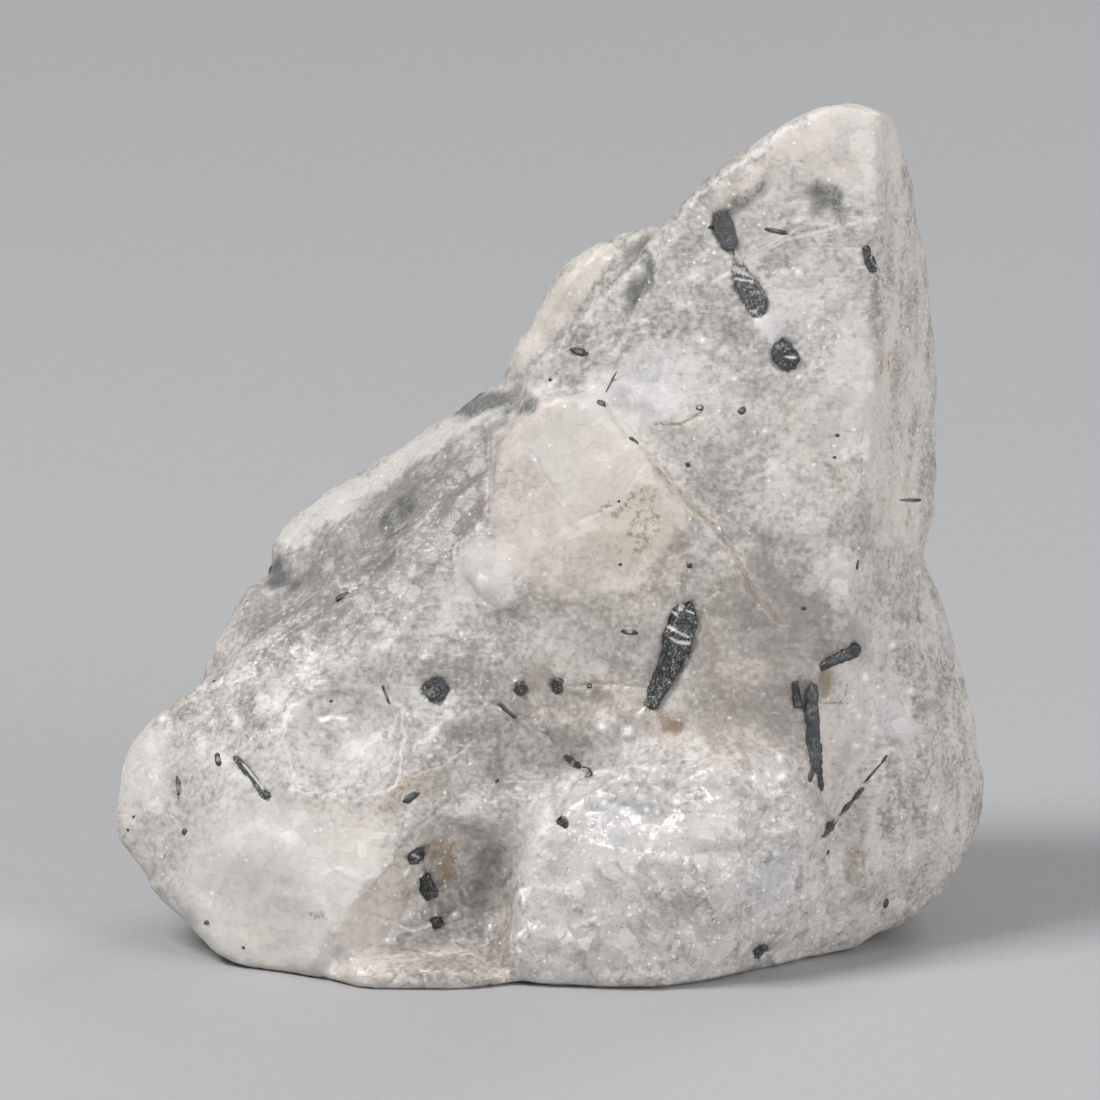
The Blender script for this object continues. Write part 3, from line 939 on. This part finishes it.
def mixed(tree, share, first, second, mode="MIX"):
    node = add(tree, "Mix", {0: share, 6: first, 7: second}, data_type="RGBA", blend_type=mode)
    return node.outputs[2]


def grains(tree, place, size, detail, roughness):
    """Noise with lumps of this size in millimetres, at a place given in metres."""
    node = add(tree, "TexNoise", {"Vector": place, "Scale": 1 / (size * MM), "Detail": detail,
                                  "Roughness": roughness})
    return node.outputs["Fac"]


def turned(tree, place, turn, stretch):
    """The place turned by degrees about x, y and z, and stretched."""
    node = add(tree, "Mapping", {"Vector": place, "Rotation": tuple(math.radians(t) for t in turn),
                                 "Scale": stretch}, vector_type="POINT")
    return node.outputs["Vector"]


def quality(tree, name):
    return add(tree, "Attribute", attribute_name=name).outputs["Fac"]


def new_material(name):
    material = bpy.data.materials.new(name)
    material.use_nodes = True
    return material, material.node_tree, material.node_tree.nodes["Principled BSDF"]


def quartz_material(look):
    material, tree, shader = new_material("quartz_finish")
    place = add(tree, "TexCoord").outputs["Object"]
    glassy = quality(tree, "glassy")
    stain = quality(tree, "stain")
    shade = quality(tree, "shade")
    cream = quality(tree, "cream")
    frost = quality(tree, "frost")
    sugar = grains(tree, place, 0.42, 3.0, 0.66)
    low = grains(tree, turned(tree, place, (0, 42, 0), (0.16, 1.0, 1.0)), 0.22, 2.0, 0.7)
    high = grains(tree, turned(tree, place, (0, 75, 0), (0.16, 1.0, 1.0)), 0.22, 2.0, 0.7)
    steep = quality(tree, "steep")
    scratch = calc(tree, "MULTIPLY_ADD", calc(tree, "SUBTRACT", high, low), steep, low)
    cells = add(tree, "TexVoronoi", {"Vector": place, "Scale": 1 / (0.34 * MM), "Randomness": 1.0})
    chance = add(tree, "SeparateColor", {"Color": cells.outputs["Color"]}).outputs[0]
    busy = calc(tree, "MULTIPLY_ADD", quality(tree, "calm"), -0.55, 1.0)
    # Facets: small broken faces, each flat and a little tilted, with a milkiness of its own
    facets = add(tree, "TexVoronoi", {"Vector": place, "Scale": 1 / (FACET_SIZE * MM), "Randomness": 1.0})
    away = add(tree, "VectorMath", {0: place, 1: facets.outputs["Position"]}, operation="SUBTRACT")
    tilt = add(tree, "VectorMath", {0: facets.outputs["Color"], 1: (0.5, 0.5, 0.5)}, operation="SUBTRACT")
    tilted = add(tree, "VectorMath", {0: away.outputs[0], 1: tilt.outputs[0]}, operation="DOT_PRODUCT")
    facet_milk = add(tree, "SeparateColor", {"Color": facets.outputs["Color"]}).outputs[1]
    # How milky: the clouds and fibres of the mesh, with a sugary speckle and fine white scratches
    speckle = calc(tree, "MULTIPLY", calc(tree, "SUBTRACT", sugar, 0.5), 1.3)
    body = calc(tree, "MULTIPLY_ADD", speckle, busy, quality(tree, "milk"))
    crystalline = calc(tree, "MULTIPLY_ADD", glassy, 0.13, 0.03)
    body = calc(tree, "MULTIPLY_ADD", calc(tree, "SUBTRACT", facet_milk, 0.5), crystalline, body)
    scratched = span(tree, scratch, 0.60, 0.72, 0.0, 0.5)
    body = calc(tree, "MULTIPLY_ADD", scratched, calc(tree, "ADD", quality(tree, "fibre"), 0.45), body)
    streak = calc(tree, "MULTIPLY", calc(tree, "SUBTRACT", scratch, 0.5), quality(tree, "fibre"))
    body = calc(tree, "MULTIPLY_ADD", streak, 1.4, body)
    body = calc(tree, "MULTIPLY_ADD", frost, 0.5, body)
    body = span(tree, body, -0.15, 1.15)
    # Glints: a few small flats that stand out white and smooth
    rare = calc(tree, "MULTIPLY_ADD", glassy, -0.14, 1.02)
    glint = calc(tree, "MULTIPLY", calc(tree, "GREATER_THAN", chance, rare),
                 span(tree, cells.outputs["Distance"], 0.22, 0.46, 1.0, 0.0))
    ragged = calc(tree, "MULTIPLY_ADD", speckle, 1.3, frost)
    glint = calc(tree, "MAXIMUM", glint, span(tree, ragged, 0.95, 1.2))
    # Colour
    colour = mixed(tree, body, look.clear_colour, look.milk_colour)
    warm = calc(tree, "MAXIMUM", cream, 0.0)
    cold = calc(tree, "MAXIMUM", calc(tree, "MULTIPLY", cream, -1.0), 0.0)
    colour = mixed(tree, calc(tree, "MULTIPLY", warm, 0.5), colour, look.cream_colour)
    colour = mixed(tree, calc(tree, "MULTIPLY", cold, 0.5), colour, look.blue_colour)
    blotch = span(tree, sugar, 0.40, 0.60, 0.45, 1.0)
    grainy = span(tree, calc(tree, "MULTIPLY_ADD", stain, 0.32, sugar), 0.58, 0.80)
    stained = calc(tree, "MULTIPLY", grainy, span(tree, stain, 0.0, 0.5, 0.0, 0.8))
    colour = mixed(tree, stained, colour, look.stain_colour)
    shaded = calc(tree, "MINIMUM", calc(tree, "MULTIPLY", shade, blotch), 0.85)
    colour = mixed(tree, shaded, colour, look.shade_colour)
    colour = mixed(tree, calc(tree, "MULTIPLY", glint, 0.75), colour, (0.95, 0.95, 0.96, 1.0))
    tree.links.new(colour, shader.inputs["Base Color"])
    # Clear where it is not milky
    clear = span(tree, body, 0.0, 0.8, 0.42, 0.02)
    clear = calc(tree, "MULTIPLY", clear, calc(tree, "SUBTRACT", 1.0, stained))
    tree.links.new(clear, shader.inputs["Transmission Weight"])
    rough = calc(tree, "MULTIPLY_ADD", sugar, 0.3, 0.34)
    rough = calc(tree, "MULTIPLY_ADD", glassy, -0.2, rough)
    rough = calc(tree, "MULTIPLY_ADD", glint, -0.3, rough)
    tree.links.new(calc(tree, "MAXIMUM", rough, 0.12), shader.inputs["Roughness"])
    shader.inputs["IOR"].default_value = 1.544
    # Relief finer than the mesh: the sugary grain
    coarse = calc(tree, "MULTIPLY_ADD", glassy, 0.5, calc(tree, "MULTIPLY", busy, 0.6))
    height = calc(tree, "MULTIPLY", sugar, coarse)
    steepness = calc(tree, "MULTIPLY_ADD", glassy, 0.42, 0.12)
    flat_faces = calc(tree, "MULTIPLY", tilted.outputs["Value"], 1 / (GRAIN_HEIGHT * MM))
    height = calc(tree, "MULTIPLY_ADD", flat_faces, steepness, height)
    bump = add(tree, "Bump", {"Height": height, "Distance": GRAIN_HEIGHT * MM, "Strength": 1.0})
    tree.links.new(bump.outputs["Normal"], shader.inputs["Normal"])
    absorb = add(tree, "VolumeAbsorption", {"Color": (0.86, 0.84, 0.80, 1.0), "Density": 14.0})
    tree.links.new(absorb.outputs["Volume"], tree.nodes["Material Output"].inputs["Volume"])
    return material


def crystal_material(look):
    material, tree, shader = new_material("crystal_finish")
    place = add(tree, "Attribute", attribute_name="along_crystal").outputs["Vector"]
    pale = quality(tree, "pale")
    veil = quality(tree, "veil")
    granular = quality(tree, "granular")
    grey = quality(tree, "grey")
    ribs = grains(tree, turned(tree, place, (0, 0, 0), (1.0, 1.0, 0.08)), 0.14, 3.0, 0.65)
    chips = grains(tree, place, 0.26, 4.0, 0.7)
    specks = grains(tree, place, 0.12, 2.0, 0.75)
    # Dark, greyer in some, with lighter stripes along the crystal
    colour = mixed(tree, grey, look.colour, (0.105, 0.11, 0.112, 1.0))
    striped = calc(tree, "MULTIPLY", span(tree, ribs, 0.5, 0.7), 0.28)
    colour = mixed(tree, striped, colour, (0.24, 0.245, 0.25, 1.0))
    # Grains of quartz on the broken faces
    dusty = calc(tree, "MULTIPLY_ADD", calc(tree, "SUBTRACT", chips, 0.5), 1.1, specks)
    dusty = calc(tree, "MULTIPLY_ADD", granular, 0.14, dusty)
    dusty = calc(tree, "MULTIPLY", span(tree, dusty, 0.66, 0.82), granular)
    colour = mixed(tree, dusty, colour, look.dust_colour)
    colour = mixed(tree, calc(tree, "MULTIPLY", span(tree, specks, 0.69, 0.77), granular),
                   colour, (0.66, 0.66, 0.66, 1.0))
    colour = mixed(tree, pale, colour, (0.68, 0.68, 0.66, 1.0))
    # The stone laid thinly over the crystal, with a ragged edge
    thin = calc(tree, "MULTIPLY", veil, 0.6)
    covered = calc(tree, "MULTIPLY_ADD", calc(tree, "SUBTRACT", chips, 0.5), 2.2, thin)
    covered = calc(tree, "MULTIPLY", span(tree, covered, 0.35, 0.65), span(tree, veil, 0.0, 0.1))
    colour = mixed(tree, covered, colour, (0.47, 0.46, 0.455, 1.0))
    tree.links.new(colour, shader.inputs["Base Color"])
    tree.links.new(span(tree, chips, 0.3, 0.7, 0.28, 0.55), shader.inputs["Roughness"])
    shader.inputs["IOR"].default_value = 1.63
    height = calc(tree, "ADD", calc(tree, "MULTIPLY", ribs, 0.6), calc(tree, "MULTIPLY", chips, 0.6))
    bump = add(tree, "Bump", {"Height": height, "Distance": 0.06 * MM, "Strength": 1.0})
    tree.links.new(bump.outputs["Normal"], shader.inputs["Normal"])
    return material


def floor_material(look):
    material, tree, shader = new_material("pale_floor")
    place = add(tree, "TexCoord").outputs["Object"]
    fleck = grains(tree, place, 1.1, 4.0, 0.7)
    light = tuple(min(1.0, part * 1.05) for part in look.floor_colour[:3]) + (1.0,)
    dark = tuple(part * 0.94 for part in look.floor_colour[:3]) + (1.0,)
    tree.links.new(mixed(tree, fleck, dark, light), shader.inputs["Base Color"])
    shader.inputs["Roughness"].default_value = 0.65
    bump = add(tree, "Bump", {"Height": fleck, "Distance": 0.15 * MM, "Strength": 0.5})
    tree.links.new(bump.outputs["Normal"], shader.inputs["Normal"])
    return material


def shared_crystal_material():
    made = bpy.data.materials.get("crystal_finish")
    return made or crystal_material(bpy.context.scene.quartz_crystals)


def place_piece(piece, material, nodes=()):
    """Give a piece its material and fasten it to the stone's body."""
    piece.data.materials.clear()
    piece.data.materials.append(material)
    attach(piece, BODY)
    if nodes:
        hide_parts(*nodes)


class QUARTZ_OT_stone(bpy.types.Operator):
    """Make the skin of the stone over its solid"""
    bl_idname = "quartz.stone"
    bl_label = "Stone"

    def execute(self, context):
        look = context.scene.quartz_stone
        bm = resurfaced(node_bmesh(STONE_NODE), look.grain / MM, look.softening)
        break_away(bm, visible(places(bm), facing(bm), BVHTree.FromBMesh(bm)))
        bm = resurfaced(bm, look.grain / MM, 1)
        shown = visible(places(bm), facing(bm), BVHTree.FromBMesh(bm))
        break_surface(bm, shown, look.relief / MM)
        refine_near_lines(bm, shown)
        shown = visible(places(bm), facing(bm), BVHTree.FromBMesh(bm))
        open_cracks(bm, shown)
        level_foot(bm)
        bm.normal_update()
        found = surface_qualities(bm, shown)
        if len(bm.verts) < 1000:
            raise RuntimeError("the stone's solid gave no skin")
        piece = as_object("quartz_stone", bm)
        for name, values in found.items():
            write_attribute(piece.data, name, values)
        write_attribute(piece.data, "opened", shown)
        place_piece(piece, quartz_material(look), (STONE_NODE,))
        return {"FINISHED"}


def crystal_axis(points):
    """The middle of a crystal and the three ways it lies, the longest last."""
    middle = points.mean(axis=0)
    ways = np.linalg.svd(points - middle, full_matrices=False)[2]
    across, beside, along = ways[2], ways[1], ways[0]
    if np.dot(np.cross(across, beside), along) < 0.0:
        across = -across
    return middle, np.stack([across, beside, along])


def rib(bm, height, seed):
    """Cut the ribs and chips of a black crystal. Returns each point in the crystal's own frame."""
    points = places(bm)
    normals = facing(bm)
    middle, ways = crystal_axis(points)
    own = (points - middle) @ ways.T
    stretched = own * np.array([1.0, 1.0, 0.12])
    rise = noise_at(stretched, 0.28, seed) * height
    rise += noise_at(own, 0.9, seed + 3.0) * height * 2.2
    rise += noise_at(own, 0.35, seed + 5.0) * height * 1.4
    move_to(bm, points + normals * rise[:, None])
    return own + seed


def face_level(stone):
    """The open face of the stone away from the crystals: a search tree over the face plane, and
    how far towards the eye each of its points lies."""
    points = np.array([vertex.co for vertex in stone.data.vertices]) / MM
    opened = np.empty(len(points), np.float32)
    stone.data.attributes["opened"].data.foreach_get("value", opened)
    crystals = packed_crystals()
    flat = on_face_plane(points)
    towards = points @ np.array(TO_EYE)
    chosen = [index for index in np.nonzero(opened > 0.3)[0]
              if crystals.find_nearest(points[index], LEVEL_GAP)[0] is None]
    tree = KDTree(len(chosen))
    for number, index in enumerate(chosen):
        tree.insert((flat[index][0], flat[index][1], 0.0), number)
    tree.balance()
    return tree, towards[chosen]


def cut_flush(bm, level, lift, seed):
    """Break a crystal off at the level of the stone around it, a little rough."""
    tree, towards = level
    points = places(bm)
    flat = on_face_plane(points)
    drift = Vector((seed, 0.0, -seed))
    for index, point in enumerate(points):
        found = tree.find_n((flat[index][0], flat[index][1], 0.0), 16)
        weights = np.array([1.0 / (gap * gap + 0.3) for _, number, gap in found])
        height = weights @ towards[[number for _, number, gap in found]] / weights.sum()
        height += lift + 0.09 * noise.noise(Vector(point) / 0.5 + drift)
        over = point @ np.array(TO_EYE) - height
        if over > 0.0:
            points[index] = point - np.array(TO_EYE) * over
    move_to(bm, points)


def strokes(lines, points, soft):
    """1 on the strokes, each from one place on the face to another, falling to 0 beside them."""
    flat = on_face_plane(points)
    share = np.zeros(len(points))
    for start, end, half in lines:
        beside = 1.0 - (line_distance(flat, (start, end)) - half) / soft
        share = np.maximum(share, np.clip(beside, 0.0, 1.0))
    return share


def narrow(bm, across, low, high):
    """Draw the lower part of a crystal together towards a line, as it is seen on the face."""
    points = places(bm)
    share = np.clip((on_face_plane(points)[:, 1] - low) / (high - low), 0.0, 1.0)
    points[:, 0] = across + (points[:, 0] - across) * (0.4 + 0.6 * share)
    move_to(bm, points)


def crystal_attributes(mesh, own, pale, veil, granular, grey):
    """Write what the crystal material reads: the place in the crystal's own frame and its looks."""
    attribute = mesh.attributes.new("along_crystal", "FLOAT_VECTOR", "POINT")
    attribute.data.foreach_set("vector", (np.asarray(own) * MM).astype(np.float32).ravel())
    for name, value in (("pale", pale), ("veil", veil), ("granular", granular), ("grey", grey)):
        write_attribute(mesh, name, np.broadcast_to(value, len(own)))


class QUARTZ_OT_crystals(bpy.types.Operator):
    """Make the skins of the black crystals that fill the pockets of the stone"""
    bl_idname = "quartz.crystals"
    bl_label = "Crystals"

    def execute(self, context):
        look = context.scene.quartz_crystals
        level = face_level(made_stone())
        for number, name in enumerate(CRYSTAL_NODES):
            bm = resurfaced(node_bmesh(name), look.grain / MM, 2)
            if name in NARROWED:
                narrow(bm, *NARROWED[name])
            own = rib(bm, look.ribs / MM, 2.0 * number)
            cut_flush(bm, level, LIFTS.get(name, LIFT), 3.0 * number)
            pale = strokes(PALE_SPOTS.get(name, ()), places(bm), 0.06)
            veil = strokes(VEILS.get(name, ()), places(bm), 0.25)
            granular, grey = CRYSTAL_LOOKS.get(name, USUAL_LOOK)
            piece = as_object(name.replace("crystal_", "black_crystal_"), bm)
            crystal_attributes(piece.data, own, pale, veil, granular, grey)
            place_piece(piece, shared_crystal_material(), (name,))
        return {"FINISHED"}


class QUARTZ_OT_join(bpy.types.Operator):
    """Draw the walls of the pockets onto the crystals, so that stone and crystal meet"""
    bl_idname = "quartz.join"
    bl_label = "Grow together"

    def execute(self, context):
        crystals = bmesh.new()
        for piece in context.scene.objects:
            if piece.name.startswith("black_crystal_"):
                crystals.from_mesh(piece.data)
        tree = BVHTree.FromBMesh(crystals)
        crystals.free()
        stone = made_stone()
        bm = bmesh.new()
        bm.from_mesh(stone.data)
        reach, close, inside = SEAM_REACH * MM, SEAM_CLOSE * MM, SEAM_INSIDE * MM
        between = []
        for vertex in bm.verts:
            spot, normal, _, gap = tree.find_nearest(vertex.co, reach)
            if spot is None:
                continue
            share = min(1.0, (reach - gap) / (reach - close))
            share = share * share * (3 - 2 * share)
            vertex.co = vertex.co.lerp(spot - normal * inside, share)
            if share < 0.98:
                between.append(vertex)
        for _ in range(SEAM_SMOOTHING):
            bmesh.ops.smooth_vert(bm, verts=between, factor=0.5, use_axis_x=True, use_axis_y=True,
                                  use_axis_z=True)
        bm.to_mesh(stone.data)
        bm.free()
        return {"FINISHED"}


def packed_crystals():
    """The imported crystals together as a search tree, in millimetres."""
    crystals = bmesh.new()
    for name in CRYSTAL_NODES:
        crystals.from_mesh(frame["nodes"][name].data)
    bmesh.ops.scale(crystals, vec=(1 / MM, 1 / MM, 1 / MM), verts=crystals.verts)
    tree = BVHTree.FromBMesh(crystals)
    crystals.free()
    return tree


def made_stone():
    stone = bpy.data.objects.get("quartz_stone")
    if stone is None:
        raise RuntimeError("the stone comes before the other pieces")
    return stone


def stone_skin():
    """The finished stone as a search tree in metres."""
    return BVHTree.FromObject(made_stone(), bpy.context.evaluated_depsgraph_get())


def meet(skin, target, way):
    """Where a line of sight along a way first meets the stone, in millimetres, and its normal."""
    start = (target - way * 200.0) * MM
    spot, normal = skin.ray_cast(start, way)[:2]
    if spot is None:
        raise RuntimeError(f"the line of sight through {tuple(target)} misses the stone")
    return spot / MM, normal


# The share of a fleck's thickness that its middle lies below the skin.
FLECK_SINK = 0.35


def add_fleck(bm, seed, middle, along, normal, half_length, half_width):
    """Add a flat, ragged grain of black crystal that lies along the surface."""
    beside = normal.cross(along).normalized()
    along = beside.cross(normal).normalized()
    depth = min(half_width, 0.24) * 0.8
    turn = Matrix((along, beside, normal)).transposed().to_4x4()
    size = Matrix.Diagonal((half_length, half_width, depth, 1.0))
    made = bmesh.ops.create_icosphere(bm, subdivisions=3, radius=1.0)
    for vertex in made["verts"]:
        unit = vertex.co.copy()
        ragged = 1.0 + 0.26 * noise.noise(unit * 1.6 + Vector((seed, 0, 0)))
        ragged += 0.18 * noise.noise(unit * 4.0 + Vector((0, seed, 0)))
        blunt = math.copysign(abs(unit.x) ** 0.55, unit.x)
        vertex.co = Vector((blunt * ragged, unit.y * ragged, unit.z))
    centre = middle - normal * depth * FLECK_SINK
    bmesh.ops.transform(bm, matrix=Matrix.Translation(centre) @ turn @ size, verts=made["verts"])
    return made["verts"]


class QUARTZ_OT_flecks(bpy.types.Operator):
    """Make the flecks and short needles that break the surface of the stone"""
    bl_idname = "quartz.flecks"
    bl_label = "Flecks"

    def execute(self, context):
        skin = stone_skin()
        bm = bmesh.new()
        pale = []
        for number, (place, length, width, turn, share) in enumerate(FLECKS.values()):
            spot, normal = meet(skin, seen(*place), -TO_EYE)
            angle = math.radians(turn)
            along = Vector((math.cos(angle), 0.0, 0.0)) + UPWARD * math.sin(angle)
            made = add_fleck(bm, 1.7 * number, spot, along, normal, length, width)
            flat = on_face_plane(np.array([vertex.co for vertex in made]))
            inner = np.linalg.norm(flat - np.array(place), axis=1) / max(width, 0.5 * length)
            pale.extend(np.where(inner < 0.6, share, 0.0))
        for number, (place, along, length, width) in enumerate(UNSEEN_FLECKS.values()):
            from_behind = place[1] == OUTSIDE
            way = Vector((0.0, -1.0, 0.0)) if from_behind else Vector((-place[0], 0.0, 0.0)).normalized()
            spot, normal = meet(skin, Vector(place), way)
            made = add_fleck(bm, 40.0 + number, spot, Vector(along), normal, length, width)
            pale.extend([0.1] * len(made))
        bm.normal_update()
        points = places(bm)
        piece = as_object("black_flecks", bm)
        crystal_attributes(piece.data, points, pale, 0.0, 0.35, 0.15)
        place_piece(piece, shared_crystal_material())
        return {"FINISHED"}


class QUARTZ_OT_veiled(bpy.types.Operator):
    """Make the crystals that show dimly under the skin of the stone"""
    bl_idname = "quartz.veiled"
    bl_label = "Veiled crystals"

    def execute(self, context):
        skin = stone_skin()
        bm = bmesh.new()
        for number, (start, end, radius, depth) in enumerate(VEILED.values()):
            first = meet(skin, seen(*start), -TO_EYE)[0]
            last = meet(skin, seen(*end), -TO_EYE)[0]
            run = last - first
            middle = (first + last) / 2 - TO_EYE * (depth + radius)
            made = bmesh.ops.create_icosphere(bm, subdivisions=3, radius=1.0)
            for vertex in made["verts"]:
                ragged = 1.0 + 0.25 * noise.noise(vertex.co * 2.0 + Vector((number * 1.3, 0, 0)))
                vertex.co *= ragged
            turn = run.to_track_quat("Z", "Y").to_matrix().to_4x4()
            size = Matrix.Diagonal((radius, radius, run.length / 2 + radius * 0.5, 1.0))
            bmesh.ops.transform(bm, matrix=Matrix.Translation(middle) @ turn @ size, verts=made["verts"])
        bm.normal_update()
        points = places(bm)
        piece = as_object("veiled_crystals", bm)
        crystal_attributes(piece.data, points, 0.0, 0.0, 0.4, 0.3)
        place_piece(piece, shared_crystal_material())
        return {"FINISHED"}


class QUARTZ_OT_stage(bpy.types.Operator):
    """Set the floor, the lights and the camera"""
    bl_idname = "quartz.stage"
    bl_label = "Stage"

    def execute(self, context):
        look = context.scene.quartz_stage
        bm = bmesh.new()
        bmesh.ops.create_grid(bm, x_segments=8, y_segments=8, size=look.floor_size / 2)
        mesh = bpy.data.meshes.new("floor")
        bm.to_mesh(mesh)
        bm.free()
        floor = bpy.data.objects.new("floor", mesh)
        mesh.materials.append(floor_material(look))
        context.scene.collection.objects.link(floor)
        aim = FOOT_FRONT + UPWARD * (look.picture_middle / MM)
        for name, (place, size, power) in LIGHTS.items():
            light = bpy.data.lights.new(name, "AREA")
            light.size = size
            light.energy = power
            lamp = bpy.data.objects.new(name, light)
            lamp.location = place
            lamp.rotation_euler = (aim * MM - Vector(place)).to_track_quat("-Z", "Y").to_euler()
            context.scene.collection.objects.link(lamp)
        world = bpy.data.worlds.new("soft light")
        world.use_nodes = True
        world.node_tree.nodes["Background"].inputs["Color"].default_value = (0.96, 0.98, 1.0, 1.0)
        world.node_tree.nodes["Background"].inputs["Strength"].default_value = 0.3
        context.scene.world = world
        context.scene.view_settings.view_transform = "Standard"
        camera = bpy.data.cameras.new("camera")
        camera.sensor_width = 36.0
        camera.lens = camera.sensor_width * look.camera_distance / look.picture_width
        camera.clip_end = 50.0
        eye = bpy.data.objects.new("camera", camera)
        eye.location = aim * MM + TO_EYE * look.camera_distance
        eye.rotation_euler = (math.pi / 2 - VIEW_TILT, 0.0, 0.0)
        context.scene.collection.objects.link(eye)
        context.scene.camera = eye
        return {"FINISHED"}


class QUARTZ_PT_panel(bpy.types.Panel):
    """Lists the pieces of the quartz and their settings"""
    bl_idname = "QUARTZ_PT_panel"
    bl_label = "Black rutilated quartz"
    bl_space_type = "VIEW_3D"
    bl_region_type = "UI"
    bl_category = "Quartz"

    def draw(self, context):
        scene = context.scene
        for settings in (scene.quartz_stone, scene.quartz_crystals, scene.quartz_stage):
            box = self.layout.box()
            for name in settings.__annotations__:
                box.prop(settings, name)
        for operator in OPERATORS:
            self.layout.operator(operator.bl_idname)


OPERATORS = (QUARTZ_OT_stone, QUARTZ_OT_crystals, QUARTZ_OT_join, QUARTZ_OT_flecks, QUARTZ_OT_veiled,
             QUARTZ_OT_stage)
CLASSES = (StoneSettings, CrystalSettings, StageSettings, *OPERATORS, QUARTZ_PT_panel)


def register():
    for each in CLASSES:
        bpy.utils.register_class(each)
    bpy.types.Scene.quartz_stone = PointerProperty(type=StoneSettings)
    bpy.types.Scene.quartz_crystals = PointerProperty(type=CrystalSettings)
    bpy.types.Scene.quartz_stage = PointerProperty(type=StageSettings)


def unregister():
    del bpy.types.Scene.quartz_stone
    del bpy.types.Scene.quartz_crystals
    del bpy.types.Scene.quartz_stage
    for each in reversed(CLASSES):
        bpy.utils.unregister_class(each)


def main():
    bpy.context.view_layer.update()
    register()
    bpy.ops.quartz.stone()
    bpy.ops.quartz.crystals()
    bpy.ops.quartz.join()
    bpy.ops.quartz.flecks()
    bpy.ops.quartz.veiled()
    bpy.ops.quartz.stage()


if __name__ == "__main__":
    main()
